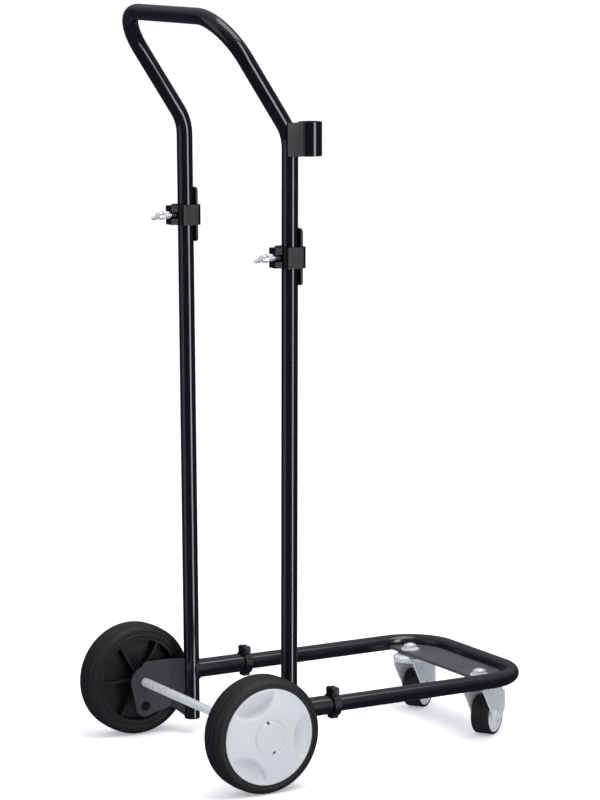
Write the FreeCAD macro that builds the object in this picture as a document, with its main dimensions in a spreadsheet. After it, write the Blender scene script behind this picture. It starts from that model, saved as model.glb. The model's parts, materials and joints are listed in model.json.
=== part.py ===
import FreeCAD, Part
import Sketcher
import math
import os

from FreeCAD import Placement, Rotation, Vector

# Tubular push cart: a bent handle frame on two wheels and an axle, with a U-shaped platform
# that plugs into two sleeves and stands on two castors.
# X is across the cart (+X the side with the tube holder), +Y points to the platform, +Z is up.
# The origin is on the floor, under the middle of the cart's length and width.

DIMENSIONS = (
    # frame
    ("overall_length", 622.5, "back of the rear tyres to the front of the platform bar"),
    ("tube_od", 25, "handle frame and platform tube"),
    ("tube_wall", 1.5, "wall of both bent tubes"),
    ("foot_half", 157.5, "half the spacing of the uprights at their feet"),
    ("knee_half", 167.5, "half the spacing of the uprights at their knees"),
    ("foot_height", 27, "lower end of the upright tubes"),
    ("knee_height", 988, "corner between upright and handle arm"),
    ("grip_rise", 175, "centre of the grip bar above the knees"),
    ("grip_setback", 116, "grip bar behind the uprights"),
    ("knee_bend", 70, "centreline bend radius at the knees"),
    ("grip_bend", 72, "centreline bend radius beside the grip bar"),
    ("plug_flange", 3, "part of the foot plug that shows"),
    ("plug_length", 14, "part of the foot plug inside the tube"),
    ("plug_gap", 0.05, "foot plug to the tube's bore"),
    # platform
    ("rail_height", 105, "centre of the platform tube"),
    ("rail_bend", 75, "centreline bend radius of the platform's front corners"),
    ("sleeve_wall", 2.4, "wall of the sleeve tubes"),
    ("sleeve_gap", 0.1, "platform tube to sleeve, radially"),
    ("sleeve_reach_right", 84, "upright centre to the front end of the right sleeve"),
    ("sleeve_reach_left", 103, "upright centre to the front end of the left sleeve"),
    ("sleeve_slit", 20, "length of the slit in the sleeve's end"),
    ("rail_start", 19, "upright centre to the rear ends of the platform tube"),
    ("plate_thickness", 2.5, "platform plate"),
    ("plate_drop", 2.5, "plate's top below the tube's centre"),
    ("plate_length", 76, "plate's rear edge to the front tube's centre"),
    ("plate_flange", 5, "depth of the flange under the plate's rear edge"),
    ("weld_overlap", 1, "plate edge let into the tube's wall"),
    # sleeve clamps
    ("collar_length", 11.5, "sleeve clamp along the tube"),
    ("collar_od", 38, "sleeve clamp's ring"),
    ("collar_slot", 4, "gap between the clamp's ears"),
    ("collar_ears", 10.5, "outer face of each ear from the tube's centre"),
    ("collar_top", 27, "top of the ears above the tube's centre"),
    ("collar_round", 3, "rounding of the ears"),
    ("collar_foot", 7, "half the width of the clamp's foot"),
    ("collar_below", 21.5, "clamp's foot below the tube's centre"),
    ("collar_bolt", 5, "clamp bolt"),
    ("collar_bolt_height", 22, "clamp bolt above the tube's centre"),
    # axle and its brackets
    ("wheel_od", 180, "rear wheel"),
    ("axle_setback", 77.5, "axle behind the uprights"),
    ("axle_od", 14, "axle rod"),
    ("axle_gap", 0.05, "axle to wheel bush, radially"),
    ("bracket_thickness", 3, "axle bracket sheet"),
    ("bracket_top", 123, "top edge of the axle bracket"),
    ("bracket_fold", 31, "bracket's fold line behind the upright"),
    ("axle_lobe", 25, "bracket radius round the axle"),
    ("spare_drop", 40, "spare axle hole below the axle"),
    ("spare_hole", 16, "spare axle hole diameter"),
    ("spare_lobe", 16.5, "bracket radius round the spare hole"),
    ("washer_thickness", 2, "axle washer"),
    ("washer_od", 26, "axle washer"),
    ("end_float", 0.3, "play of the wheel along the axle"),
    ("nut_length", 5, "push nut on the axle's end"),
    ("nut_od", 27, "push nut on the axle's end"),
    # rear wheels
    ("tyre_width", 46, "rear tyre"),
    ("tyre_seat", 140, "tyre's inner diameter on the hub"),
    ("tyre_shoulder", 8, "rounding of the tread's edges"),
    ("groove_width", 3, "tread groove"),
    ("groove_depth", 2, "tread groove"),
    ("groove_pitch", 10, "tread groove spacing"),
    ("rim_wall", 4, "hub rim"),
    ("web_thickness", 3, "hub web"),
    ("web_inset", 19, "hub web from the tyre's inner face"),
    ("barrel_od", 30, "hub barrel"),
    ("barrel_lead", 11.5, "barrel beyond the tyre's inner face"),
    ("barrel_end", 31, "outer end of the barrel from the tyre's inner face"),
    ("bush_od", 20, "wheel bush"),
    ("rib_thickness", 3.5, "hub ribs"),
    ("rib_inset", 4, "hub ribs from the tyre's inner face"),
    ("cap_od", 148, "hub cap"),
    ("cap_gap", 0.3, "hub cap to tyre and rim"),
    ("cap_stand", 3, "cap's rim beyond the tyre's outer face"),
    ("cap_flange", 4.3, "thickness of the cap's rim"),
    ("cap_depth", 13.5, "cap's rim face to its back"),
    ("cap_dome", 4.5, "cap's middle above its rim"),
    ("cap_boss", 25, "radius of the cap's middle boss"),
    ("cap_hollow", 44, "bore in the cap's back over the push nut"),
    ("cap_skin", 2.5, "cap over that bore"),
    ("scallop_radius", 44, "curved wall of each recess in the cap"),
    ("scallop_centre", 83, "centre of that curve from the wheel's centre"),
    ("scallop_lip", 3.5, "flat lip left outside each recess"),
    ("scallop_shallow", 1, "recess depth at the lip"),
    ("scallop_deep", 11, "recess depth at the curved wall"),
    ("key_hole", 5, "the two small holes beside the boss"),
    ("key_radius", 24, "those holes from the wheel's centre"),
    # castors
    ("castor_half", 105, "half the spacing of the castor stems"),
    ("castor_setback", 61, "castor stem behind the front tube's centre"),
    ("castor_turn", 33, "castor's swivel angle as it stands"),
    ("castor_trail", 31, "castor axle from the stem's axis"),
    ("castor_od", 64, "castor wheel"),
    ("castor_width", 31, "castor tyre"),
    ("castor_seat", 56, "castor tyre's inner diameter"),
    ("castor_round", 3, "rounding of the castor tyre"),
    ("castor_hub_width", 33, "castor hub"),
    ("castor_hub_od", 18, "castor hub"),
    ("castor_web", 21, "castor wheel's disc"),
    ("castor_bolt", 8, "castor axle bolt"),
    ("bolt_gap", 0.06, "castor wheel to its bolt, radially"),
    ("fork_gap", 0.5, "castor hub to fork, each side"),
    ("fork_sheet", 2.5, "fork sheet"),
    ("fork_half", 26, "radius of the fork's crown"),
    ("fork_front", 59, "front edge of the fork's legs from the stem"),
    ("fork_shoulder", 67, "height of the front corner of the fork's legs"),
    ("fork_lobe", 13, "fork radius round the castor's bolt"),
    ("crown_height", 87, "top of the fork"),
    ("race_gap", 0.3, "fork to swivel race"),
    ("race_od", 56, "swivel race"),
    ("race_height", 8, "swivel race"),
    ("spacer_od", 22, "spacer between race and plate"),
    ("stem_od", 12, "castor stem"),
    ("stem_gap", 0.1, "stem to the holes round it, radially"),
    ("stem_nut_height", 6.5, "nut on the castor stem"),
    ("stem_nut_flats", 18, "nut on the castor stem, across flats"),
    ("stem_washer_od", 30, "washer on the castor stem"),
    ("stem_washer_height", 2, "washer on the castor stem"),
    # clamps on the uprights
    ("clamp_height_right", 804, "middle of the right clamp"),
    ("clamp_height_left", 840, "middle of the left clamp"),
    ("clamp_gap", 0.3, "clamp to upright, radially"),
    ("clamp_half", 19, "half the clamp's width"),
    ("clamp_front", 19.5, "clamp's front from the upright's axis"),
    ("clamp_back", 18, "clamp's back from the upright's axis"),
    ("clamp_tall", 32, "clamp along the upright"),
    ("clamp_round", 7, "clamp's corner rounding"),
    ("ear_reach", 30, "clamp's ears from the upright's axis"),
    ("ear_half", 10, "half the width of the ears"),
    ("ear_slot", 11, "gap between the ears"),
    ("boss_od", 14, "threaded boss between the ears"),
    ("boss_reach", 26, "boss's end from the upright's axis"),
    ("strip_thickness", 4, "backing strip"),
    ("strip_half", 11, "half the backing strip's width"),
    ("strip_length", 86, "backing strip"),
    ("strip_round", 6, "backing strip's corners"),
    ("strip_gap", 0.1, "backing strip to its slot"),
    ("pad_od", 10, "pressure pad"),
    ("pad_thickness", 2.4, "pressure pad"),
    ("pad_travel", 2.6, "room for the pad to back off"),
    ("screw_od", 8, "wing screw"),
    ("screw_gap", 0.05, "wing screw to its hole, radially"),
    ("wing_hub_od", 15, "wing screw's hub"),
    ("wing_hub_length", 12, "wing screw's hub"),
    ("wing_hub_reach", 38, "front of the wing screw's hub from the upright's axis"),
    ("wing_radius", 6, "each wing's rounding"),
    ("wing_spread", 8.5, "each wing's centre from the screw's axis"),
    ("wing_thickness", 3.5, "each wing"),
    ("wing_turn", 25, "wing screw's angle as it stands"),
    # tube holder
    ("holder_od", 36, "tube holder ring"),
    ("holder_wall", 2, "tube holder ring"),
    ("holder_length", 51, "tube holder's height"),
    ("holder_drop", 33, "tube holder's lower end below the knee"),
    ("holder_forward", 17.5, "ring's centre in front of the upright's front side"),
    ("holder_inset", 4.5, "ring's centre inside the upright's outer side"),
    ("holder_plate", 2.6, "sheet of the tube holder's plate"),
    ("holder_plate_back", 12, "plate behind the upright's axis"),
    ("holder_plate_front", 1.5, "plate in front of the upright's front side"),
)

RIB_COUNT = 6
SCALLOP_COUNT = 3
SCALLOP_FIRST_ANGLE = -6
KEY_HOLE_ANGLES = (100, 280)
GROOVE_STEPS = (-1, 0, 1)
SIDES = (("left", -1), ("right", 1))
OVERRUN = 5  # how far a cutting tool runs past what it cuts

doc = FreeCAD.newDocument("push_cart")
dims = doc.addObject("Spreadsheet::Sheet", "dims")
for row, (alias, value, note) in enumerate(DIMENSIONS, start=1):
    dims.set(f"A{row}", note)
    dims.set(f"B{row}", str(value))
    dims.setAlias(f"B{row}", alias)
doc.recompute()

# Places that several sub-parts share, as expressions on the sheet.
AXLE_Y = "(-dims.overall_length / 2 + dims.wheel_od / 2)"
UPRIGHT_Y = f"({AXLE_Y} + dims.axle_setback)"
FRONT_Y = "(dims.overall_length / 2 - dims.tube_od / 2)"
CASTOR_Y = f"({FRONT_Y} - dims.castor_setback)"
AXLE_Z = "(dims.wheel_od / 2)"
SLOPE = "((dims.knee_half - dims.foot_half) / (dims.knee_height - dims.foot_height))"
BRACKET_X = f"(dims.foot_half + {SLOPE} * ({AXLE_Z} - dims.foot_height) + dims.tube_od / 2)"
WASHER_X = f"({BRACKET_X} + dims.bracket_thickness)"
WHEEL_X = f"({WASHER_X} + dims.washer_thickness + dims.end_float + dims.barrel_lead)"
GRIP_Z = "(dims.knee_height + dims.grip_rise)"
HOLDER_Z = "(dims.knee_height - dims.holder_drop)"
PLATE_TOP = "(dims.rail_height - dims.plate_drop)"
PLATE_BOTTOM = f"({PLATE_TOP} - dims.plate_thickness)"
FORK_INNER = "(dims.castor_hub_width / 2 + dims.fork_gap)"
FORK_OUTER = f"({FORK_INNER} + dims.fork_sheet)"
SLEEVE_BORE = "(dims.tube_od / 2 + dims.sleeve_gap)"
SLEEVE_OUTER = f"({SLEEVE_BORE} + dims.sleeve_wall)"

X_AXIS, Y_AXIS, Z_AXIS = Vector(1, 0, 0), Vector(0, 1, 0), Vector(0, 0, 1)
ALONG_X = Rotation(Y_AXIS, 90)
ALONG_Y = Rotation(X_AXIS, -90)
ALONG_Z = Rotation()
TURNED_UP = Rotation(Y_AXIS, -90)  # a turned piece is drawn along X; this stands it on Z
TURNED_BACK = Rotation(Z_AXIS, -90)  # and this points it backwards, along -Y

sub_parts = []


def number(expression):
    """The present value of an expression on the sheet."""
    return float(dims.evalExpression(expression))


def bind(item, **expressions):
    for name, expression in expressions.items():
        item.setExpression(name, str(expression))
    return item


def place(item, x=0, y=0, z=0, rotation=None):
    if rotation is not None:
        item.Placement = Placement(Vector(), rotation)
    for axis, expression in zip("xyz", (x, y, z)):
        item.setExpression(f".Placement.Base.{axis}", str(expression))
    return item


def finish(item, label):
    """Names an object as a sub-part, to be checked and exported."""
    item.Label = label
    sub_parts.append(item)
    return item


# ---- Part primitives and booleans

def cylinder(name, radius, height, rotation=ALONG_Z, x=0, y=0, z=0):
    item = doc.addObject("Part::Cylinder", name)
    bind(item, Radius=radius, Height=height)
    return place(item, x, y, z, rotation)


def box(name, length, width, height, x=0, y=0, z=0):
    item = doc.addObject("Part::Box", name)
    bind(item, Length=length, Width=width, Height=height)
    return place(item, x, y, z)


def centred_box(name, half_width, y0, y1, z0, z1):
    """A box symmetrical about X = 0."""
    return box(name, f"2 * {half_width}", f"({y1}) - ({y0})", f"({z1}) - ({z0})", f"-{half_width}", y0, z0)


def fuse(name, *pieces):
    item = doc.addObject("Part::MultiFuse", name)
    item.Shapes = list(pieces)
    return item


def cut(name, base, *tools):
    item = doc.addObject("Part::Cut", name)
    item.Base = base
    item.Tool = tools[0] if len(tools) == 1 else fuse(f"{name}_tools", *tools)
    return item


def common(name, *pieces):
    item = doc.addObject("Part::MultiCommon", name)
    item.Shapes = list(pieces)
    return item


def edges_along(shape, direction):
    """Numbers of the straight edges that run along a direction."""
    found = []
    for index, edge in enumerate(shape.Edges, start=1):
        if edge.Curve.TypeId != "Part::GeomLine":
            continue
        if abs(edge.tangentAt(edge.FirstParameter).dot(direction)) > 0.999:
            found.append(index)
    return found


def rounded(name, base, radius, direction):
    """A Part primitive with its edges along one direction rounded."""
    doc.recompute()
    item = doc.addObject("Part::Fillet", name)
    item.Base = base
    size = number(radius)
    item.Edges = [(index, size, size) for index in edges_along(base.Shape, direction)]
    return item


# ---- PartDesign bodies

def origin_plane(body, role):
    return next(plane for plane in body.Origin.OriginFeatures if plane.Role == role)


def new_sketch(body, name, role="XY_Plane", offset=0):
    sketch = body.newObject("Sketcher::SketchObject", name)
    sketch.AttachmentSupport = [(origin_plane(body, role), "")]
    sketch.MapMode = "FlatFace"
    sketch.setExpression(".AttachmentOffset.Base.z", str(offset))
    return sketch


def fix_point(sketch, geometry, point, x, y):
    """Holds a sketch point at two distances from the sketch's origin."""
    for kind, expression in (("DistanceX", x), ("DistanceY", y)):
        value = number(str(expression))
        index = sketch.addConstraint(Sketcher.Constraint(kind, -1, 1, geometry, point, value))
        sketch.setExpression(f"Constraints[{index}]", str(expression))


def polygon(sketch, points):
    """A closed outline whose corners are pairs of expressions."""
    corners = [Vector(number(str(x)), number(str(y)), 0) for x, y in points]
    count = len(corners)
    for index, corner in enumerate(corners):
        sketch.addGeometry(Part.LineSegment(corner, corners[(index + 1) % count]), False)
    for index in range(count):
        sketch.addConstraint(Sketcher.Constraint("Coincident", index, 2, (index + 1) % count, 1))
    for index, (x, y) in enumerate(points):
        fix_point(sketch, index, 1, x, y)


def turned_body(name, points):
    """A body turned about its own X axis from an outline of (along, radius) corners."""
    body = doc.addObject("PartDesign::Body", name)
    sketch = new_sketch(body, f"{name}_outline")
    polygon(sketch, points)
    revolution = body.newObject("PartDesign::Revolution", f"{name}_turned")
    revolution.Profile = sketch
    revolution.ReferenceAxis = (sketch, ["H_Axis"])
    revolution.Angle = 360
    doc.recompute()
    return body


def round_rims(body, name, radius, *rims):
    """Rounds the circular edges of a turned body, given as (along, radius) pairs."""
    base = body.Tip
    chosen = []
    for index, edge in enumerate(base.Shape.Edges, start=1):
        if edge.Curve.TypeId != "Part::GeomCircle":
            continue
        for along, rim in rims:
            here = abs(edge.Curve.Center.x - number(str(along))) < 0.01
            if here and abs(edge.Curve.Radius - number(str(rim))) < 0.01:
                chosen.append(f"Edge{index}")
    fillet = body.newObject("PartDesign::Fillet", name)
    fillet.Base = (base, chosen)
    bind(fillet, Radius=radius)
    doc.recompute()


def padded_body(name, role, length, draw, offset=0):
    """A body whose sketch is drawn by a function and padded evenly both ways."""
    body = doc.addObject("PartDesign::Body", name)
    sketch = new_sketch(body, f"{name}_outline", role, offset)
    draw(sketch)
    pad = body.newObject("PartDesign::Pad", f"{name}_pad")
    pad.Profile = sketch
    pad.Midplane = True
    bind(pad, Length=length)
    doc.recompute()
    return body


# ---- bent tubes

def bent_path(points, radii):
    """A wire of straight runs joined by tangent arcs, one radius for each inner point."""
    edges = []
    start = points[0]
    for before, corner, after, radius in zip(points, points[1:], points[2:], radii):
        arrive = (corner - before).normalize()
        leave = (after - corner).normalize()
        turn = arrive.getAngle(leave)
        reach = radius * math.tan(turn / 2)
        first = corner - arrive * reach
        last = corner + leave * reach
        inward = (leave - arrive).normalize()
        middle = corner + inward * (radius / math.cos(turn / 2) - radius)
        edges.append(Part.LineSegment(start, first).toShape())
        edges.append(Part.Arc(first, middle, last).toShape())
        start = last
    edges.append(Part.LineSegment(start, points[-1]).toShape())
    return Part.Wire(edges)


def swept(name, path, radius, start, direction):
    section = doc.addObject("Part::Circle", f"{name}_section")
    bind(section, Radius=radius)
    section.Placement = Placement(start, Rotation(Z_AXIS, direction))
    sweep = doc.addObject("Part::Sweep", name)
    sweep.Sections = [section]
    sweep.Spine = (path, [f"Edge{index + 1}" for index in range(len(path.Shape.Edges))])
    sweep.Solid = True
    sweep.Frenet = False
    return sweep


def bent_tube(label, points, radii):
    path = doc.addObject("Part::Feature", f"{label}_path")
    path.Shape = bent_path(points, radii)
    direction = points[1] - points[0]
    outside = swept(f"{label}_outside", path, "dims.tube_od / 2", points[0], direction)
    inside = swept(f"{label}_inside", path, "dims.tube_od / 2 - dims.tube_wall", points[0], direction)
    return finish(cut(f"{label}_tube", outside, inside), label)


# ---- the uprights' lean: they stand a little wider apart at the knees than at the feet

def upright_x(height):
    """Expression for the spacing of an upright's axis from the middle at a height."""
    return f"(dims.foot_half + {SLOPE} * (({height}) - dims.foot_height))"


def on_upright(item, sign, height, rotation=ALONG_Z):
    """Places an item drawn about the Z axis on an upright, along its lean."""
    lean = Rotation(Y_AXIS, sign * math.degrees(math.atan(number(SLOPE))))
    return place(item, f"{sign} * {upright_x(height)}", UPRIGHT_Y, height, lean * rotation)


# ---- handle frame

def handle_frame():
    rear = number(f"{UPRIGHT_Y} - dims.grip_setback")
    stand = number(UPRIGHT_Y)
    foot = number("dims.foot_half"), stand, number("dims.foot_height")
    knee = number("dims.knee_half"), stand, number("dims.knee_height")
    grip = number("dims.knee_half"), rear, number(GRIP_Z)
    right_side = [Vector(*point) for point in (grip, knee, foot)]
    left_side = [Vector(-point.x, point.y, point.z) for point in reversed(right_side)]
    knee_bend, grip_bend = number("dims.knee_bend"), number("dims.grip_bend")
    bent_tube("handle_frame", left_side + right_side, (knee_bend, grip_bend, grip_bend, knee_bend))


def foot_plug(side, sign):
    stem = "(dims.tube_od / 2 - dims.tube_wall - dims.plug_gap)"
    body = turned_body(f"plug_{side}", (
        ("-dims.plug_flange", 0),
        ("-dims.plug_flange", "dims.tube_od / 2"),
        (0, "dims.tube_od / 2"),
        (0, stem),
        ("dims.plug_length", stem),
        ("dims.plug_length", 0),
    ))
    round_rims(body, f"plug_{side}_rim", "dims.plug_flange * 0.6", ("-dims.plug_flange", "dims.tube_od / 2"))
    finish(on_upright(body, sign, "dims.foot_height", TURNED_UP), f"foot_plug_{side}")


def tube_holder():
    """A short tube beside the right upright's knee, on a plate welded to the upright's side."""
    x = upright_x(f"{HOLDER_Z} + dims.holder_length / 2")
    inner_face = f"({x} + dims.tube_od / 2)"
    ring_x = f"({inner_face} - dims.holder_inset)"
    ring_y = f"({UPRIGHT_Y} + dims.tube_od / 2 + dims.holder_forward)"
    plate_y = f"({UPRIGHT_Y} - dims.holder_plate_back)"
    plate_width = "(dims.holder_plate_back + dims.tube_od / 2 + dims.holder_plate_front)"
    plate = box("holder_plate_sheet", "dims.holder_plate", plate_width,
                "dims.holder_length", inner_face, plate_y, HOLDER_Z)
    ring = cylinder("holder_ring", "dims.holder_od / 2", "dims.holder_length",
                    x=ring_x, y=ring_y, z=HOLDER_Z)
    bore = cylinder("holder_bore", "dims.holder_od / 2 - dims.holder_wall", f"dims.holder_length + {2 * OVERRUN}",
                    x=ring_x, y=ring_y, z=f"{HOLDER_Z} - {OVERRUN}")
    finish(cut("holder", fuse("holder_outer", plate, ring), bore), "tube_holder")


# ---- sleeves and the clamps on their ends

def sleeve_end(side):
    return f"({UPRIGHT_Y} + dims.sleeve_reach_{side})"


def sleeve(side, sign):
    """A tube welded to the front of the upright, with a slit in its end for the clamp to close."""
    name = f"sleeve_{side}_tube"
    x = f"{sign} * dims.foot_half"
    wide = f"(2 * {SLEEVE_OUTER})"
    outside = cylinder(f"{name}_outside", SLEEVE_OUTER, f"dims.sleeve_reach_{side}", ALONG_Y,
                       x, UPRIGHT_Y, "dims.rail_height")
    inside = cylinder(f"{name}_inside", SLEEVE_BORE, f"dims.sleeve_reach_{side} + {2 * OVERRUN}", ALONG_Y,
                      x, f"{UPRIGHT_Y} - {OVERRUN}", "dims.rail_height")
    saddle = cylinder(f"{name}_saddle", "dims.tube_od / 2", f"2 * {wide}")
    on_upright(saddle, sign, f"dims.rail_height - {wide}")
    behind = box(f"{name}_behind", f"2 * {wide}", wide, f"2 * {wide}",
                 f"{x} - {wide}", f"{UPRIGHT_Y} - {wide}", f"dims.rail_height - {wide}")
    slit = box(f"{name}_slit", "dims.collar_slot", f"dims.sleeve_slit + {OVERRUN}", wide,
               f"{x} - dims.collar_slot / 2", f"{sleeve_end(side)} - dims.sleeve_slit", "dims.rail_height")
    finish(cut(name, outside, inside, saddle, behind, slit), f"sleeve_{side}")


def sleeve_clamp(side, sign):
    """A split ring on the sleeve's end, with two ears above and a small foot below."""
    name = f"collar_{side}"
    x = f"{sign} * dims.foot_half"
    middle = "dims.rail_height"
    length = "dims.collar_length"
    back = f"({sleeve_end(side)} - {length})"
    outer_ring = cylinder(f"{name}_ring", "dims.collar_od / 2", length, ALONG_Y, x, back, middle)
    block = box(f"{name}_block", "2 * dims.collar_ears", length, "dims.collar_top",
                f"{x} - dims.collar_ears", back, middle)
    ears = rounded(f"{name}_ears", block, "dims.collar_round", Y_AXIS)
    foot = box(f"{name}_foot", "2 * dims.collar_foot", length, "dims.collar_below",
               f"{x} - dims.collar_foot", back, f"{middle} - dims.collar_below")
    bore = cylinder(f"{name}_bore", SLEEVE_OUTER, f"{length} + {2 * OVERRUN}", ALONG_Y, x, f"{back} - {OVERRUN}", middle)
    slot = box(f"{name}_slot", "dims.collar_slot", f"{length} + {2 * OVERRUN}", f"dims.collar_top + {OVERRUN}",
               f"{x} - dims.collar_slot / 2", f"{back} - {OVERRUN}", middle)
    hole = cylinder(f"{name}_bolt_hole", "dims.collar_bolt / 2", "4 * dims.collar_ears", ALONG_X,
                    f"{x} - 2 * dims.collar_ears", f"{back} + {length} / 2", f"{middle} + dims.collar_bolt_height")
    finish(cut(name, fuse(f"{name}_outer", outer_ring, ears, foot), bore, slot, hole), f"sleeve_clamp_{side}")


def hexagon_bolt(name, size, half_grip):
    """A bolt along X through the origin, with its head and its nut each side of what it holds."""
    thick = f"{size} * 0.7"
    shank = cylinder(f"{name}_shank", f"{size} / 2", f"2 * {half_grip} + {size} * 1.5", ALONG_X,
                     f"-{half_grip} - {size} * 0.9")
    ends = []
    for end, x in (("head", half_grip), ("nut", f"-{half_grip} - {thick}")):
        hexagon = doc.addObject("Part::Prism", f"{name}_{end}")
        hexagon.Polygon = 6
        bind(hexagon, Circumradius=f"{size} * 0.92", Height=thick)
        ends.append(place(hexagon, x, 0, 0, ALONG_X))
    return fuse(name, shank, *ends)


def sleeve_bolt(side, sign):
    bolt = hexagon_bolt(f"collar_bolt_{side}", "dims.collar_bolt", "dims.collar_ears")
    place(bolt, f"{sign} * dims.foot_half", f"{sleeve_end(side)} - dims.collar_length / 2",
          "dims.rail_height + dims.collar_bolt_height", facing(sign))
    finish(bolt, f"sleeve_bolt_{side}")


# ---- platform

def platform_rail():
    x = number("dims.foot_half")
    tail = number(f"{UPRIGHT_Y} + dims.rail_start")
    front = number(FRONT_Y)
    height = number("dims.rail_height")
    points = [Vector(-x, tail, height), Vector(-x, front, height), Vector(x, front, height), Vector(x, tail, height)]
    bend = number("dims.rail_bend")
    bent_tube("platform_rail", points, (bend, bend))


def platform_plate():
    """Sheet between the rails, following their front corners, with a flange at the back."""
    half = "(dims.foot_half - dims.tube_od / 2 + dims.weld_overlap)"
    front = f"({FRONT_Y} - dims.tube_od / 2 + dims.weld_overlap)"
    rear = f"({FRONT_Y} - dims.plate_length)"
    sheet = box("plate_sheet", f"2 * {half}", f"{front} - {rear}", "dims.plate_thickness",
                f"-{half}", rear, PLATE_BOTTOM)
    corner = "(dims.rail_bend - dims.tube_od / 2 + dims.weld_overlap)"
    doc.recompute()
    smooth = doc.addObject("Part::Fillet", "plate_corners")
    smooth.Base = sheet
    size = number(corner)
    front_value = number(front)
    smooth.Edges = [(index, size, size) for index in edges_along(sheet.Shape, Z_AXIS)
                    if abs(sheet.Shape.Edges[index - 1].CenterOfMass.y - front_value) < 0.01]
    flange = box("plate_flange_sheet", f"2 * {half}", "dims.plate_thickness", "dims.plate_flange",
                 f"-{half}", rear, f"{PLATE_TOP} - dims.plate_flange")
    holes = [cylinder(f"plate_hole_{side}", "dims.stem_od / 2 + dims.stem_gap", f"{4 * OVERRUN}",
                      x=f"{sign} * dims.castor_half", y=CASTOR_Y, z=f"{PLATE_BOTTOM} - {OVERRUN}")
             for side, sign in SIDES]
    finish(cut("plate", fuse("plate_outer", smooth, flange), *holes), "platform_plate")


# ---- axle, its brackets and what holds the wheels on

def axle_bracket(side, sign):
    """Sheet that runs flat past the axle and folds in to the back of the upright."""
    near = BRACKET_X
    far = WASHER_X
    rear_y = f"({AXLE_Y} - dims.axle_lobe - {OVERRUN})"
    fold_y = f"({UPRIGHT_Y} - dims.bracket_fold)"
    weld_x = upright_x(AXLE_Z)
    weld_y = f"({UPRIGHT_Y} - dims.tube_od / 2 + dims.weld_overlap / 2)"
    skew = "(dims.bracket_thickness * 1.3)"

    def draw_fold(sketch):
        outline = ((near, rear_y), (far, rear_y), (far, fold_y), (f"{weld_x} + {skew}", weld_y),
                   (weld_x, weld_y), (near, f"{fold_y} - dims.bracket_thickness / 2"))
        polygon(sketch, [(f"{sign} * ({x})", y) for x, y in outline])

    folded = padded_body(f"bracket_{side}_sheet", "XY_Plane", "4 * dims.bracket_top", draw_fold)

    spare_z = f"({AXLE_Z} - dims.spare_drop)"

    def draw_side(sketch):
        polygon(sketch, (
            (AXLE_Y, "dims.bracket_top"),
            (f"{UPRIGHT_Y} + dims.tube_od", "dims.bracket_top"),
            (f"{UPRIGHT_Y} + dims.tube_od", "dims.foot_height + 2"),
            (f"{UPRIGHT_Y} - dims.tube_od / 2", "dims.foot_height + 2"),
            (f"{UPRIGHT_Y} - dims.bracket_fold", f"{spare_z} - dims.spare_lobe * 0.3"),
            (AXLE_Y, f"{spare_z} - dims.spare_lobe"),
            (f"{AXLE_Y} - dims.spare_lobe", spare_z),
            (f"{AXLE_Y} - dims.axle_lobe", AXLE_Z),
        ))

    side_view = padded_body(f"bracket_{side}_side", "YZ_Plane", "4 * dims.knee_half", draw_side)
    width = "4 * dims.knee_half"
    start = "-2 * dims.knee_half"
    axle_lobe = cylinder(f"bracket_{side}_axle_lobe", "dims.axle_lobe", width, ALONG_X, start, AXLE_Y, AXLE_Z)
    spare_lobe = cylinder(f"bracket_{side}_spare_lobe", "dims.spare_lobe", width, ALONG_X, start, AXLE_Y, spare_z)
    profile = fuse(f"bracket_{side}_profile", side_view, axle_lobe, spare_lobe)
    axle_hole = cylinder(f"bracket_{side}_axle_hole", "dims.axle_od / 2", width, ALONG_X, start, AXLE_Y, AXLE_Z)
    spare_hole = cylinder(f"bracket_{side}_spare_hole", "dims.spare_hole / 2", width, ALONG_X, start, AXLE_Y, spare_z)
    solid = common(f"bracket_{side}_solid", folded, profile)
    finish(cut(f"bracket_{side}", solid, axle_hole, spare_hole), f"axle_bracket_{side}")


def axle():
    tip = f"({WHEEL_X} + dims.barrel_end + dims.end_float + dims.nut_length + 2)"
    radius = "dims.axle_od / 2"
    body = turned_body("axle_rod", (
        (f"-{tip}", 0),
        (f"-{tip}", f"{radius} - 1"),
        (f"-{tip} + 1", radius),
        (f"{tip} - 1", radius),
        (tip, f"{radius} - 1"),
        (tip, 0),
    ))
    place(body, 0, AXLE_Y, AXLE_Z)
    finish(body, "axle")


def ring(name, inner, outer, start, length):
    """A plain turned ring about X."""
    return turned_body(name, ((start, inner), (start, outer), (f"{start} + {length}", outer),
                              (f"{start} + {length}", inner)))


def facing(sign):
    """Pieces drawn with their outer face towards +X are turned round for the left side."""
    return Rotation() if sign > 0 else Rotation(Z_AXIS, 180)


def axle_washer(side, sign):
    body = ring(f"washer_{side}", "dims.axle_od / 2", "dims.washer_od / 2", WASHER_X, "dims.washer_thickness")
    place(body, 0, AXLE_Y, AXLE_Z, facing(sign))
    finish(body, f"axle_washer_{side}")


def push_nut(side, sign):
    start = f"({WHEEL_X} + dims.barrel_end + dims.end_float)"
    body = turned_body(f"nut_{side}", (
        (start, "dims.axle_od / 2"),
        (start, "dims.nut_od / 2"),
        (f"{start} + 1.5", "dims.nut_od / 2"),
        (f"{start} + dims.nut_length", "dims.nut_od / 2 - 4"),
        (f"{start} + dims.nut_length", "dims.axle_od / 2"),
    ))
    place(body, 0, AXLE_Y, AXLE_Z, facing(sign))
    finish(body, f"push_nut_{side}")


# ---- rear wheels, drawn with X = 0 on the tyre's inner face

def on_axle(body, sign):
    return place(body, f"{sign} * {WHEEL_X}", AXLE_Y, AXLE_Z, facing(sign))


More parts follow.
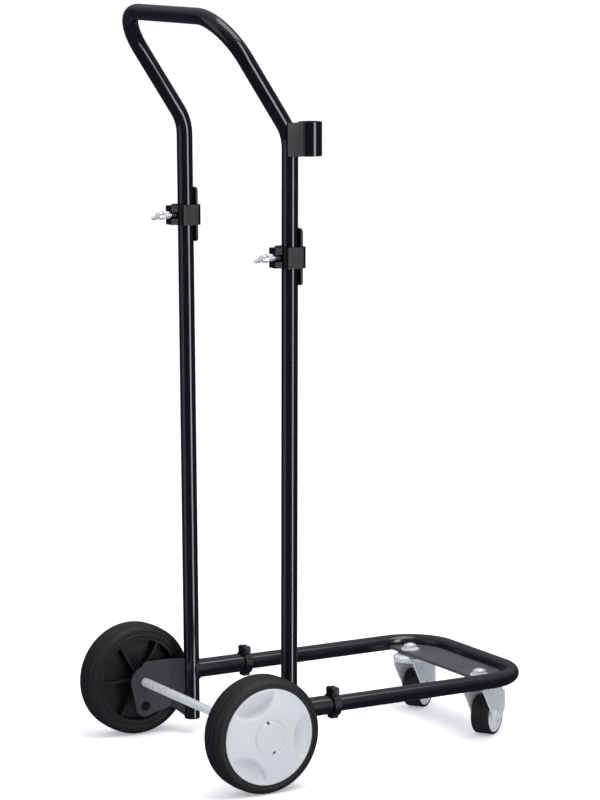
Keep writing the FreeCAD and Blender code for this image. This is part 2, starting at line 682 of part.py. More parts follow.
def rear_tyre(side, sign):
    tread = "dims.wheel_od / 2"
    floor = f"{tread} - dims.groove_depth"
    seat = "dims.tyre_seat / 2"
    bead = "(dims.cap_od / 2 + dims.cap_gap)"
    bead_x = "(dims.tyre_width + dims.cap_stand - dims.cap_flange)"
    points = [(0, seat), (0, tread)]
    for step in GROOVE_STEPS:
        middle = f"dims.tyre_width / 2 + {step} * dims.groove_pitch"
        points += [
            (f"{middle} - dims.groove_width / 2", tread),
            (f"{middle} - dims.groove_width / 2", floor),
            (f"{middle} + dims.groove_width / 2", floor),
            (f"{middle} + dims.groove_width / 2", tread),
        ]
    points += [("dims.tyre_width", tread), ("dims.tyre_width", bead), (bead_x, bead), (bead_x, seat)]
    body = turned_body(f"tyre_{side}", points)
    round_rims(body, f"tyre_{side}_shoulders", "dims.tyre_shoulder", (0, tread), ("dims.tyre_width", tread))
    finish(on_axle(body, sign), f"rear_tyre_{side}")


def wheel_hub(side, sign):
    seat = "dims.tyre_seat / 2"
    rim = f"({seat} - dims.rim_wall)"
    barrel = "dims.barrel_od / 2"
    bush = "dims.bush_od / 2"
    web = "dims.web_inset"
    web_end = "(dims.web_inset + dims.web_thickness)"
    rim_end = "(dims.tyre_width + dims.cap_stand - dims.cap_flange)"
    name = f"hub_{side}"
    body = turned_body(name, (
        ("-dims.barrel_lead", bush),
        ("-dims.barrel_lead", barrel),
        (web, barrel),
        (web, rim),
        (1, rim),
        (1, seat),
        (rim_end, seat),
        (rim_end, rim),
        (web_end, rim),
        (web_end, barrel),
        ("dims.barrel_end", barrel),
        ("dims.barrel_end", bush),
    ))
    sketch = new_sketch(body, f"{name}_rib_outline", "YZ_Plane", "dims.rib_inset")
    half = "dims.rib_thickness / 2"
    polygon(sketch, ((f"{barrel} - 1", f"-{half}"), (f"{rim} + 1", f"-{half}"), (f"{rim} + 1", half),
                     (f"{barrel} - 1", half)))
    rib = body.newObject("PartDesign::Pad", f"{name}_rib")
    rib.Profile = sketch
    bind(rib, Length=f"{web} - dims.rib_inset + 1")
    doc.recompute()
    ribs = body.newObject("PartDesign::PolarPattern", f"{name}_ribs")
    ribs.Originals = [rib]
    ribs.Axis = (origin_plane(body, "X_Axis"), [""])
    ribs.Angle = 360
    ribs.Occurrences = RIB_COUNT
    body.Tip = ribs
    doc.recompute()
    finish(on_axle(body, sign), f"wheel_hub_{side}")


def wheel_bush(side, sign):
    bore = "dims.axle_od / 2 + dims.axle_gap"
    body = ring(f"bush_{side}", bore, "dims.bush_od / 2", "-dims.barrel_lead", "dims.barrel_end + dims.barrel_lead")
    finish(on_axle(body, sign), f"wheel_bush_{side}")


def hub_cap(side, sign):
    """A domed disc with three scooped recesses, a middle boss and two small key holes."""
    rim_face = "(dims.tyre_width + dims.cap_stand)"
    top = f"({rim_face} + dims.cap_dome)"
    back = f"({rim_face} - dims.cap_depth)"
    flange_back = f"({rim_face} - dims.cap_flange + 0.1)"
    outer = "dims.cap_od / 2"
    spigot = "(dims.tyre_seat / 2 - dims.rim_wall - dims.cap_gap)"
    lip = f"({outer} - dims.scallop_lip)"
    name = f"cap_{side}"
    disc = turned_body(f"{name}_disc", (
        (f"{top} - dims.cap_skin", 0),
        (top, 0),
        (top, "dims.cap_boss - 1"),
        (f"{top} - 1", "dims.cap_boss - 1"),
        (f"{top} - 1", "dims.cap_boss"),
        (f"{top} - 0.4", "dims.cap_boss"),
        (rim_face, lip),
        (rim_face, outer),
        (flange_back, outer),
        (flange_back, spigot),
        (back, spigot),
        (back, "dims.cap_hollow / 2"),
        (f"{top} - dims.cap_skin", "dims.cap_hollow / 2"),
    ))
    round_rims(disc, f"{name}_rim", 1.5, (rim_face, outer))
    wall = "(dims.scallop_centre - dims.scallop_radius)"

    def draw_slope(sketch):
        polygon(sketch, (
            (f"{rim_face} - dims.scallop_deep", wall),
            (f"{rim_face} - dims.scallop_shallow", lip),
            (f"{top} + {OVERRUN}", lip),
            (f"{top} + {OVERRUN}", wall),
        ))

    tools = []
    for index in range(SCALLOP_COUNT):
        angle = SCALLOP_FIRST_ANGLE + 360 * index / SCALLOP_COUNT
        turn = Rotation(X_AXIS, angle)
        wedge = padded_body(f"{name}_wedge_{index}", "XY_Plane", "dims.cap_od", draw_slope)
        wedge.Placement = Placement(Vector(), turn)
        arm = turn.multVec(Y_AXIS) * number("dims.scallop_centre")
        scoop = cylinder(f"{name}_scoop_{index}", "dims.scallop_radius", "2 * dims.tyre_width", ALONG_X, 0, arm.y, arm.z)
        inside = cylinder(f"{name}_inside_{index}", lip, "2 * dims.tyre_width", ALONG_X)
        tools.append(common(f"{name}_recess_{index}", wedge, scoop, inside))
    for index, angle in enumerate(KEY_HOLE_ANGLES):
        arm = Rotation(X_AXIS, angle).multVec(Y_AXIS) * number("dims.key_radius")
        tools.append(cylinder(f"{name}_key_{index}", "dims.key_hole / 2", "dims.tyre_width", ALONG_X,
                              f"{top} - 4", arm.y, arm.z))
    solid = cut(name, disc, *tools)
    finish(on_axle(solid, sign), f"hub_cap_{side}")


# ---- castors, drawn about their stem with the wheel's axle along X and the trail along +Y

def on_stem(item, sign, rotation=Rotation()):
    turn = Rotation(Z_AXIS, number("dims.castor_turn"))
    return place(item, f"{sign} * dims.castor_half", CASTOR_Y, 0, turn * rotation)


def on_castor_bolt(item, sign):
    """Places an item drawn about X through the origin on the castor's own axle."""
    turn = Rotation(Z_AXIS, number("dims.castor_turn"))
    x = f"{sign} * dims.castor_half - dims.castor_trail * sin(dims.castor_turn * 1 deg)"
    y = f"{CASTOR_Y} + dims.castor_trail * cos(dims.castor_turn * 1 deg)"
    return place(item, x, y, "dims.castor_od / 2", turn)


def castor_tyre(side, sign):
    half = "dims.castor_width / 2"
    tread = "dims.castor_od / 2"
    body = turned_body(f"castor_tyre_{side}_ring", (
        (f"-{half}", "dims.castor_seat / 2"), (f"-{half}", tread), (half, tread), (half, "dims.castor_seat / 2"),
    ))
    round_rims(body, f"castor_tyre_{side}_rounding", "dims.castor_round", (f"-{half}", tread), (half, tread))
    finish(on_castor_bolt(body, sign), f"castor_tyre_{side}")


def castor_wheel(side, sign):
    rim = "dims.castor_width / 2 - 1"
    seat = "dims.castor_seat / 2"
    web = "dims.castor_web / 2"
    hub = "dims.castor_hub_width / 2"
    bore = "dims.castor_bolt / 2 + dims.bolt_gap"
    half_outline = ((web, "dims.castor_hub_od / 2 + 1"), (hub, "dims.castor_hub_od / 2"), (hub, bore))
    body = turned_body(f"castor_wheel_{side}_disc", (
        *((f"-({x})", r) for x, r in reversed(half_outline)),
        (f"-({web})", f"{seat} - 4"), (f"-({rim})", f"{seat} - 3"), (f"-({rim})", seat),
        (rim, seat), (rim, f"{seat} - 3"), (web, f"{seat} - 4"),
        *half_outline,
    ))
    finish(on_castor_bolt(body, sign), f"castor_wheel_{side}")


def castor_bolt(side, sign):
    bolt = hexagon_bolt(f"castor_bolt_{side}_all", "dims.castor_bolt", FORK_OUTER)
    finish(on_castor_bolt(bolt, sign), f"castor_bolt_{side}")


def castor_fork(side, sign):
    name = f"fork_{side}"
    crown_bottom = "(dims.crown_height - dims.fork_sheet)"
    wheel_z = "dims.castor_od / 2"
    lobe = "dims.fork_lobe"

    def draw_leg(sketch):
        polygon(sketch, (
            ("-dims.fork_half * 0.9", "dims.crown_height"),
            ("-dims.fork_half * 0.9", f"{crown_bottom} - 4"),
            (f"dims.castor_trail - {lobe} * 0.87", f"{wheel_z} - {lobe} * 0.49"),
            (f"dims.castor_trail + {lobe} * 0.5", f"{wheel_z} - {lobe} * 0.87"),
            ("dims.fork_front", f"{wheel_z} + {lobe} * 0.4"),
            ("dims.fork_front", "dims.fork_shoulder"),
            ("dims.fork_half * 0.95", "dims.crown_height"),
        ))

    legs = padded_body(f"{name}_legs", "YZ_Plane", f"2 * {FORK_OUTER}", draw_leg)
    crown = cylinder(f"{name}_crown", "dims.fork_half", "dims.fork_sheet", z=crown_bottom)
    lobes = cylinder(f"{name}_lobes", lobe, f"2 * {FORK_OUTER}", ALONG_X, f"-{FORK_OUTER}", "dims.castor_trail", wheel_z)
    space = centred_box(f"{name}_space", FORK_INNER, "-2 * dims.fork_half", "2 * dims.castor_od", 0, crown_bottom)
    kingpin = cylinder(f"{name}_kingpin_hole", "dims.stem_od / 2 + dims.stem_gap", "dims.crown_height",
                       z="dims.crown_height / 2")
    bolt = cylinder(f"{name}_bolt_hole", "dims.castor_bolt / 2", f"4 * {FORK_OUTER}", ALONG_X, f"-2 * {FORK_OUTER}",
                    "dims.castor_trail", wheel_z)
    solid = cut(name, fuse(f"{name}_outer", legs, crown, lobes), space, kingpin, bolt)
    finish(on_stem(solid, sign), f"castor_fork_{side}")


def castor_stem(side, sign):
    """Kingpin, swivel race, spacer and threaded stem, all fixed to the plate."""
    pin = "dims.stem_od / 2"
    head_top = "(dims.crown_height - dims.fork_sheet - dims.race_gap)"
    race = "(dims.crown_height + dims.race_gap)"
    race_top = f"({race} + dims.race_height)"
    tip = f"({PLATE_TOP} + dims.stem_washer_height + dims.stem_nut_height + 1.5)"
    body = turned_body(f"stem_{side}", (
        (f"{head_top} - 3.5", 0),
        (f"{head_top} - 3.5", f"{pin} + 2"),
        (head_top, f"{pin} + 3"),
        (head_top, pin),
        (race, pin),
        (race, "dims.race_od / 2"),
        (f"{race} + dims.race_height * 0.6", "dims.race_od / 2"),
        (race_top, "dims.race_od / 2 - 5"),
        (race_top, "dims.spacer_od / 2"),
        (PLATE_BOTTOM, "dims.spacer_od / 2"),
        (PLATE_BOTTOM, pin),
        (f"{tip} - 1", pin),
        (tip, f"{pin} - 1"),
        (tip, 0),
    ))
    finish(place(body, f"{sign} * dims.castor_half", CASTOR_Y, 0, TURNED_UP), f"castor_stem_{side}")


def stem_fasteners(side, sign):
    x = f"{sign} * dims.castor_half"
    washer = ring(f"stem_washer_{side}_ring", "dims.stem_od / 2 + dims.stem_gap", "dims.stem_washer_od / 2",
                  PLATE_TOP, "dims.stem_washer_height")
    finish(place(washer, x, CASTOR_Y, 0, TURNED_UP), f"stem_washer_{side}")
    hexagon = doc.addObject("Part::Prism", f"stem_nut_{side}_hexagon")
    hexagon.Polygon = 6
    bind(hexagon, Circumradius="dims.stem_nut_flats / 2 / cos(30 deg)", Height="dims.stem_nut_height")
    nut_z = f"{PLATE_TOP} + dims.stem_washer_height"
    place(hexagon, x, CASTOR_Y, nut_z)
    thread = cylinder(f"stem_nut_{side}_thread", "dims.stem_od / 2", "4 * dims.stem_nut_height",
                      x=x, y=CASTOR_Y, z=f"{nut_z} - {OVERRUN}")
    finish(cut(f"stem_nut_{side}_solid", hexagon, thread), f"stem_nut_{side}")


# ---- clamps on the uprights, drawn about the upright's axis as Z

PAD_FRONT = "(dims.tube_od / 2 + dims.clamp_gap)"
PAD_BACK = f"({PAD_FRONT} + dims.pad_thickness)"
POCKET_BACK = f"({PAD_BACK} + dims.pad_travel)"


def clamp_height(side):
    return f"dims.clamp_height_{side}"


def along_y(name, radius, near, far):
    """A cylinder about the Y axis between two distances behind the upright."""
    return cylinder(name, radius, f"({far}) - ({near})", ALONG_Y, 0, f"-({far})", 0)


def upright_clamp(side, sign):
    name = f"clamp_{side}"
    half_tall = "dims.clamp_tall / 2"
    block = centred_box(f"{name}_block", "dims.clamp_half", "-dims.clamp_back", "dims.clamp_front",
                        f"-{half_tall}", half_tall)
    smooth = rounded(f"{name}_smooth", block, "dims.clamp_round", Z_AXIS)
    ears = [centred_box(f"{name}_ear_{index}", "dims.ear_half", "-dims.ear_reach", "-dims.clamp_back + 3", low, high)
            for index, (low, high) in enumerate((("dims.ear_slot / 2", f"{half_tall} - 1"),
                                                 (f"1 - {half_tall}", "-dims.ear_slot / 2")))]
    boss = along_y(f"{name}_boss", "dims.boss_od / 2", "dims.clamp_back - 3", "dims.boss_reach")
    bore = cylinder(f"{name}_bore", "dims.tube_od / 2 + dims.clamp_gap", "2 * dims.clamp_tall", z="-dims.clamp_tall")
    slot = centred_box(f"{name}_slot", "(dims.strip_half + dims.strip_gap)", 0,
                       f"{PAD_FRONT} + dims.strip_thickness + dims.strip_gap", "-dims.clamp_tall", "dims.clamp_tall")
    pocket = along_y(f"{name}_pocket", "dims.pad_od / 2 + dims.stem_gap", 0, POCKET_BACK)
    thread = along_y(f"{name}_thread", "dims.screw_od / 2 + dims.screw_gap", 0, "2 * dims.ear_reach")
    solid = cut(name, fuse(f"{name}_outer", smooth, boss, *ears), bore, slot, pocket, thread)
    finish(on_upright(solid, sign, clamp_height(side)), f"upright_clamp_{side}")


def backing_strip(side, sign):
    name = f"strip_{side}"
    sheet = centred_box(f"{name}_sheet", "dims.strip_half", PAD_FRONT, f"{PAD_FRONT} + dims.strip_thickness",
                        "-dims.strip_length / 2", "dims.strip_length / 2")
    smooth = rounded(name, sheet, "dims.strip_round", Y_AXIS)
    finish(on_upright(smooth, sign, clamp_height(side)), f"backing_strip_{side}")


def pressure_pad(side, sign):
    disc = turned_body(f"pad_{side}", (
        (PAD_FRONT, 0), (PAD_FRONT, "dims.pad_od / 2"), (PAD_BACK, "dims.pad_od / 2"), (PAD_BACK, 0),
    ))
    finish(on_upright(disc, sign, clamp_height(side), TURNED_BACK), f"pressure_pad_{side}")


def wing_screw(side, sign):
    """Screw whose tip bears on the pressure pad, with a hub and two rounded wings."""
    name = f"wing_{side}"
    hub_back = "(dims.wing_hub_reach + dims.wing_hub_length)"
    shank = along_y(f"{name}_shank", "dims.screw_od / 2", f"{PAD_BACK} + dims.screw_gap", "dims.wing_hub_reach + 2")
    hub = along_y(f"{name}_hub", "dims.wing_hub_od / 2", "dims.wing_hub_reach", hub_back)
    wing_y = f"-({hub_back} + 1)"
    pieces = [shank, hub]
    for index, way in enumerate((-1, 1)):
        pieces.append(cylinder(f"{name}_lobe_{index}", "dims.wing_radius", "dims.wing_thickness", ALONG_X,
                               "-dims.wing_thickness / 2", wing_y, f"{way} * dims.wing_spread"))
    pieces.append(centred_box(f"{name}_neck", "(dims.wing_thickness / 2)", f"-{hub_back}", "-dims.wing_hub_reach - 3",
                              "-dims.wing_spread", "dims.wing_spread"))
    turn = Rotation(Y_AXIS, number("dims.wing_turn"))
    finish(on_upright(fuse(name, *pieces), sign, clamp_height(side), turn), f"wing_screw_{side}")


# ---- build, check and write

handle_frame()
tube_holder()
axle()
platform_rail()
platform_plate()
for side, sign in SIDES:
    foot_plug(side, sign)
    sleeve(side, sign)
    sleeve_clamp(side, sign)
    sleeve_bolt(side, sign)
    axle_bracket(side, sign)
    axle_washer(side, sign)
    push_nut(side, sign)
    rear_tyre(side, sign)
    wheel_hub(side, sign)
    wheel_bush(side, sign)
    hub_cap(side, sign)
    castor_tyre(side, sign)
    castor_wheel(side, sign)
    castor_bolt(side, sign)
    castor_fork(side, sign)
    castor_stem(side, sign)
    stem_fasteners(side, sign)
    upright_clamp(side, sign)
    backing_strip(side, sign)
    pressure_pad(side, sign)
    wing_screw(side, sign)

doc.recompute()
faulty = [item.Name for item in doc.Objects if "Invalid" in item.State or "Error" in item.State]
for part in sub_parts:
    shape = part.Shape
    if shape.isNull() or not shape.isValid() or not shape.Solids:
        faulty.append(part.Label)
if faulty:
    raise RuntimeError(f"these objects failed: {faulty}")

os.makedirs("parts", exist_ok=True)
for part in sub_parts:
    part.Shape.exportStep(f"parts/{part.Label}.step")
    print(f"{part.Label}: {len(part.Shape.Solids)} solid, {part.Shape.Volume / 1000:.1f} cm3")
print(f"{len(sub_parts)} sub-parts written")
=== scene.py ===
import bpy
import bmesh
import json
import math
from mathutils import Matrix, Vector, noise

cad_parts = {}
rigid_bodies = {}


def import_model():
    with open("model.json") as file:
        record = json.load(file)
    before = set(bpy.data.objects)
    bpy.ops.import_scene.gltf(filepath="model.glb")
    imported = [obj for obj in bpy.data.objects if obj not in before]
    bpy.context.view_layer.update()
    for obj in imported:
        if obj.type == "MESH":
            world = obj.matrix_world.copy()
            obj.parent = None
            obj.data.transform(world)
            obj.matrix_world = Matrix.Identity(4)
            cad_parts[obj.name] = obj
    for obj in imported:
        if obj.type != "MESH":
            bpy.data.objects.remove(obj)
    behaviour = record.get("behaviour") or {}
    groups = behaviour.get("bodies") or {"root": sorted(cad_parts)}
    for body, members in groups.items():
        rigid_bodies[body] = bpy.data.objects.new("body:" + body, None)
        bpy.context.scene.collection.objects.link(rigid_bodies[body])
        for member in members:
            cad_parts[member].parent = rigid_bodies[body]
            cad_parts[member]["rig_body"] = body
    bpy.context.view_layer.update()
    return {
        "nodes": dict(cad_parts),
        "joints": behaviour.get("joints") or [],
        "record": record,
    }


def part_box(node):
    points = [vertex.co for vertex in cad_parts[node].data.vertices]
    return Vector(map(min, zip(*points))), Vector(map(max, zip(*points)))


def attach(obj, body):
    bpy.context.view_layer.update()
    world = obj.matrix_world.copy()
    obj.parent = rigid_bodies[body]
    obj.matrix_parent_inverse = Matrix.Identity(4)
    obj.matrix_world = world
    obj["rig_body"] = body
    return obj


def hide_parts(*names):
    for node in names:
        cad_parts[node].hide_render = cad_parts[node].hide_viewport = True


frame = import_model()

# Tubular push cart. Everything is in metres, in the frame's own place:
# X across the cart, Y towards the platform, Z up.

nodes = frame["nodes"]
joints = {joint["name"]: joint for joint in frame["joints"]}
sides = (("left", -1), ("right", 1))
mm = 0.001
alongX, alongY, alongZ = Vector((1, 0, 0)), Vector((0, 1, 0)), Vector((0, 0, 1))


def middleOf(node):
    low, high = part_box(node)
    return (low + high) / 2


def bodyOf(node):
    return nodes[node]["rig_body"]


axleCentre = middleOf("axle")
uprightY = middleOf("foot_plug_right").y
tubeRadius = (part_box("foot_plug_right")[1].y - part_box("foot_plug_right")[0].y) / 2
railHeight = middleOf("platform_rail").z


# node groups: effects that several finishes share

def newGroup(name, inputs, outputs):
    group = bpy.data.node_groups.new(name, "ShaderNodeTree")
    for label, value in inputs.items():
        socket = group.interface.new_socket(label, in_out="INPUT", socket_type="NodeSocketFloat")
        socket.default_value = value
    for label in outputs:
        group.interface.new_socket(label, in_out="OUTPUT", socket_type="NodeSocketFloat")
    return group, group.nodes.new("NodeGroupInput"), group.nodes.new("NodeGroupOutput")


def mathNode(tree, operation, first, second=None, clamp=False):
    node = tree.nodes.new("ShaderNodeMath")
    node.operation = operation
    node.use_clamp = clamp
    for index, value in enumerate((first, second)):
        if value is None:
            continue
        if isinstance(value, (int, float)):
            node.inputs[index].default_value = value
        else:
            tree.links.new(value, node.inputs[index])
    return node.outputs[0]


def rangeNode(tree, value, fromLow, fromHigh, toLow=0.0, toHigh=1.0):
    node = tree.nodes.new("ShaderNodeMapRange")
    tree.links.new(value, node.inputs["Value"])
    for label, amount in (("From Min", fromLow), ("From Max", fromHigh), ("To Min", toLow), ("To Max", toHigh)):
        if isinstance(amount, (int, float)):
            node.inputs[label].default_value = amount
        else:
            tree.links.new(amount, node.inputs[label])
    return node.outputs["Result"]


def noiseNode(tree, vector, scale, detail=2.0, roughness=0.5):
    node = tree.nodes.new("ShaderNodeTexNoise")
    node.inputs["Detail"].default_value = detail
    node.inputs["Roughness"].default_value = roughness
    tree.links.new(vector, node.inputs["Vector"])
    if isinstance(scale, (int, float)):
        node.inputs["Scale"].default_value = scale
    else:
        tree.links.new(scale, node.inputs["Scale"])
    return node.outputs["Fac"]


def makeGrain():
    # fine relief of a paint or a moulding, and a broad slow mottling
    group, given, result = newGroup("fineGrain", {"Scale": 900.0, "Broad Scale": 14.0}, ("Height", "Mottle"))
    place = group.nodes.new("ShaderNodeTexCoord").outputs["Object"]
    fine = noiseNode(group, place, given.outputs["Scale"], 3.0, 0.6)
    broad = noiseNode(group, place, given.outputs["Broad Scale"], 4.0, 0.55)
    group.links.new(fine, result.inputs["Height"])
    group.links.new(rangeNode(group, broad, 0.3, 0.7), result.inputs["Mottle"])
    return group


def makeEdgeWear():
    # rubbed edges: where a rounded normal leaves the true one, broken up by noise
    group, given, result = newGroup("edgeWear", {"Radius": 0.0008, "Amount": 0.5, "Scale": 220.0}, ("Mask",))
    bevel = group.nodes.new("ShaderNodeBevel")
    bevel.samples = 4
    group.links.new(given.outputs["Radius"], bevel.inputs["Radius"])
    facing = group.nodes.new("ShaderNodeNewGeometry").outputs["Normal"]
    dot = group.nodes.new("ShaderNodeVectorMath")
    dot.operation = "DOT_PRODUCT"
    group.links.new(bevel.outputs["Normal"], dot.inputs[0])
    group.links.new(facing, dot.inputs[1])
    edge = rangeNode(group, dot.outputs["Value"], 0.97, 0.72)
    place = group.nodes.new("ShaderNodeTexCoord").outputs["Object"]
    patches = rangeNode(group, noiseNode(group, place, given.outputs["Scale"], 4.0, 0.7), 0.42, 0.62)
    worn = mathNode(group, "MULTIPLY", edge, patches)
    group.links.new(mathNode(group, "MULTIPLY", worn, given.outputs["Amount"], True), result.inputs["Mask"])
    return group


def makeDust():
    # a thin film that settles near the floor and on what faces up
    group, given, result = newGroup("dustFilm", {"Reach": 0.3, "Amount": 0.2, "Scale": 45.0}, ("Mask",))
    place = group.nodes.new("ShaderNodeTexCoord").outputs["Object"]
    split = group.nodes.new("ShaderNodeSeparateXYZ")
    group.links.new(place, split.inputs[0])
    low = rangeNode(group, split.outputs["Z"], given.outputs["Reach"], 0.0)
    normal = group.nodes.new("ShaderNodeNewGeometry").outputs["Normal"]
    splitNormal = group.nodes.new("ShaderNodeSeparateXYZ")
    group.links.new(normal, splitNormal.inputs[0])
    upward = rangeNode(group, splitNormal.outputs["Z"], 0.2, 1.0, 0.25, 1.0)
    patches = rangeNode(group, noiseNode(group, place, given.outputs["Scale"], 5.0, 0.65), 0.35, 0.75)
    settled = mathNode(group, "MULTIPLY", mathNode(group, "MULTIPLY", low, upward), patches)
    group.links.new(mathNode(group, "MULTIPLY", settled, given.outputs["Amount"], True), result.inputs["Mask"])
    return group


fineGrain = makeGrain()
edgeWear = makeEdgeWear()
dustFilm = makeDust()


def placeGroup(tree, group, **values):
    node = tree.nodes.new("ShaderNodeGroup")
    node.node_tree = group
    for label, value in values.items():
        node.inputs[label.replace("_", " ")].default_value = value
    return node


def mixColour(tree, mask, first, second):
    node = tree.nodes.new("ShaderNodeMix")
    node.data_type = "RGBA"
    tree.links.new(mask, node.inputs["Factor"])
    for socket, value in ((node.inputs[6], first), (node.inputs[7], second)):
        if isinstance(value, tuple):
            socket.default_value = (*value, 1)
        else:
            tree.links.new(value, socket)
    return node.outputs[2]


dustColour = (0.20, 0.19, 0.18)


def newFinish(name, look):
    # every finish starts from this: mottled colour, rubbed edges, a dust film and a fine relief
    material = bpy.data.materials.new(name)
    material.use_nodes = True
    tree = material.node_tree
    shader = tree.nodes["Principled BSDF"]
    shader.inputs["Metallic"].default_value = look.get("metallic", 0.0)
    shader.inputs["Specular IOR Level"].default_value = look.get("specular", 0.5)
    grain = placeGroup(tree, fineGrain, Scale=look["grain"], Broad_Scale=look["mottle"])
    wear = placeGroup(tree, edgeWear, Radius=look["edge"], Amount=look["wear"])
    dust = placeGroup(tree, dustFilm, Reach=look["dustReach"], Amount=look["dust"])
    colour = mixColour(tree, grain.outputs["Mottle"], look["colour"], look["second"])
    colour = mixColour(tree, wear.outputs["Mask"], colour, look["worn"])
    colour = mixColour(tree, dust.outputs["Mask"], colour, dustColour)
    tree.links.new(colour, shader.inputs["Base Color"])
    low, high = look["roughness"]
    rough = rangeNode(tree, grain.outputs["Mottle"], 0.0, 1.0, low, high)
    rough = mathNode(tree, "ADD", rough, mathNode(tree, "MULTIPLY", dust.outputs["Mask"], 0.5), True)
    tree.links.new(rough, shader.inputs["Roughness"])
    bump = tree.nodes.new("ShaderNodeBump")
    bump.inputs["Strength"].default_value = 1.0
    bump.inputs["Distance"].default_value = look["relief"]
    tree.links.new(grain.outputs["Height"], bump.inputs["Height"])
    tree.links.new(bump.outputs["Normal"], shader.inputs["Normal"])
    return material


def glossPaint():
    look = {
        "colour": (0.0035, 0.0035, 0.0048), "second": (0.0050, 0.0050, 0.0066), "worn": (0.030, 0.030, 0.033),
        "roughness": (0.13, 0.19), "specular": 0.5,
        "grain": 300, "mottle": 9, "relief": 0.000008,
        "edge": 0.0007, "wear": 0.25, "dust": 0.03, "dustReach": 0.3,
    }
    return newFinish("blackGlossPaint", look)


def satinPaint():
    look = {
        "colour": (0.026, 0.024, 0.030), "second": (0.034, 0.031, 0.039), "worn": (0.09, 0.09, 0.095),
        "roughness": (0.42, 0.55), "specular": 0.4,
        "grain": 1500, "mottle": 18, "relief": 0.00008,
        "edge": 0.0006, "wear": 0.4, "dust": 0.1, "dustReach": 0.25,
    }
    return newFinish("blackSatinPaint", look)


def platePaint():
    look = {
        "colour": (0.062, 0.062, 0.070), "second": (0.074, 0.074, 0.083), "worn": (0.20, 0.20, 0.21),
        "roughness": (0.42, 0.58), "specular": 0.4,
        "grain": 1300, "mottle": 22, "relief": 0.00012,
        "edge": 0.0006, "wear": 0.5, "dust": 0.12, "dustReach": 0.3,
    }
    return newFinish("greySatinPaint", look)


def zincPlate():
    # bright zinc: faint crystal spangle in colour
    look = {
        "colour": (0.84, 0.86, 0.87), "second": (0.89, 0.905, 0.91), "worn": (0.92, 0.93, 0.93),
        "roughness": (0.26, 0.31), "metallic": 0.42,
        "grain": 500, "mottle": 60, "relief": 0.0000015,
        "edge": 0.0003, "wear": 0.1, "dust": 0.02, "dustReach": 0.2,
        "crystals": 420, "spangle": 0.06, "spangleColour": (0.50, 0.55, 0.60),
    }
    material = newFinish("brightZinc", look)
    tree = material.node_tree
    base = tree.nodes["Principled BSDF"].inputs["Base Color"]
    place = tree.nodes.new("ShaderNodeTexCoord").outputs["Object"]
    crystal = tree.nodes.new("ShaderNodeTexVoronoi")
    crystal.inputs["Scale"].default_value = look["crystals"]
    tree.links.new(place, crystal.inputs["Vector"])
    shade = tree.nodes.new("ShaderNodeSeparateColor")
    tree.links.new(crystal.outputs["Color"], shade.inputs[0])
    spangle = rangeNode(tree, shade.outputs[0], 0.0, 1.0, 0.0, look["spangle"])
    tree.links.new(mixColour(tree, spangle, base.links[0].from_socket, look["spangleColour"]), base)
    return material


def chromePlate():
    look = {
        "colour": (0.88, 0.89, 0.90), "second": (0.92, 0.93, 0.94), "worn": (0.80, 0.79, 0.77),
        "roughness": (0.16, 0.26), "metallic": 0.6,
        "grain": 700, "mottle": 80, "relief": 0.00002,
        "edge": 0.0005, "wear": 0.3, "dust": 0.0, "dustReach": 0.2,
    }
    return newFinish("platedCasting", look)


def blackPlastic():
    look = {
        "colour": (0.0045, 0.0045, 0.0055), "second": (0.0065, 0.0065, 0.0075), "worn": (0.03, 0.03, 0.032),
        "roughness": (0.24, 0.34), "specular": 0.24,
        "grain": 2400, "mottle": 30, "relief": 0.00007,
        "edge": 0.0006, "wear": 0.35, "dust": 0.08, "dustReach": 0.25,
    }
    return newFinish("blackMoulding", look)


def hubPlastic():
    look = {
        "colour": (0.0045, 0.0045, 0.005), "second": (0.007, 0.007, 0.008), "worn": (0.03, 0.03, 0.03),
        "roughness": (0.45, 0.6), "specular": 0.35,
        "grain": 1900, "mottle": 26, "relief": 0.00008,
        "edge": 0.0006, "wear": 0.4, "dust": 0.08, "dustReach": 0.2,
    }
    return newFinish("hubMoulding", look)


def capPlastic():
    look = {
        "colour": (0.54, 0.565, 0.585), "second": (0.58, 0.605, 0.625), "worn": (0.70, 0.71, 0.72),
        "roughness": (0.30, 0.40), "specular": 0.45,
        "grain": 2600, "mottle": 12, "relief": 0.00004,
        "edge": 0.0006, "wear": 0.25, "dust": 0.10, "dustReach": 0.12,
    }
    return newFinish("silverGreyMoulding", look)


def castorPlastic():
    look = {
        "colour": (0.74, 0.755, 0.77), "second": (0.80, 0.81, 0.82), "worn": (0.88, 0.88, 0.88),
        "roughness": (0.25, 0.36), "specular": 0.5,
        "grain": 2200, "mottle": 40, "relief": 0.00004,
        "edge": 0.0004, "wear": 0.2, "dust": 0.12, "dustReach": 0.08,
    }
    return newFinish("offWhiteMoulding", look)


def naturalNylon():
    look = {
        "colour": (0.70, 0.68, 0.62), "second": (0.76, 0.74, 0.69), "worn": (0.8, 0.79, 0.76),
        "roughness": (0.4, 0.5), "specular": 0.45,
        "grain": 1800, "mottle": 40, "relief": 0.00004,
        "edge": 0.0004, "wear": 0.1, "dust": 0.2, "dustReach": 0.2,
    }
    return newFinish("naturalNylon", look)


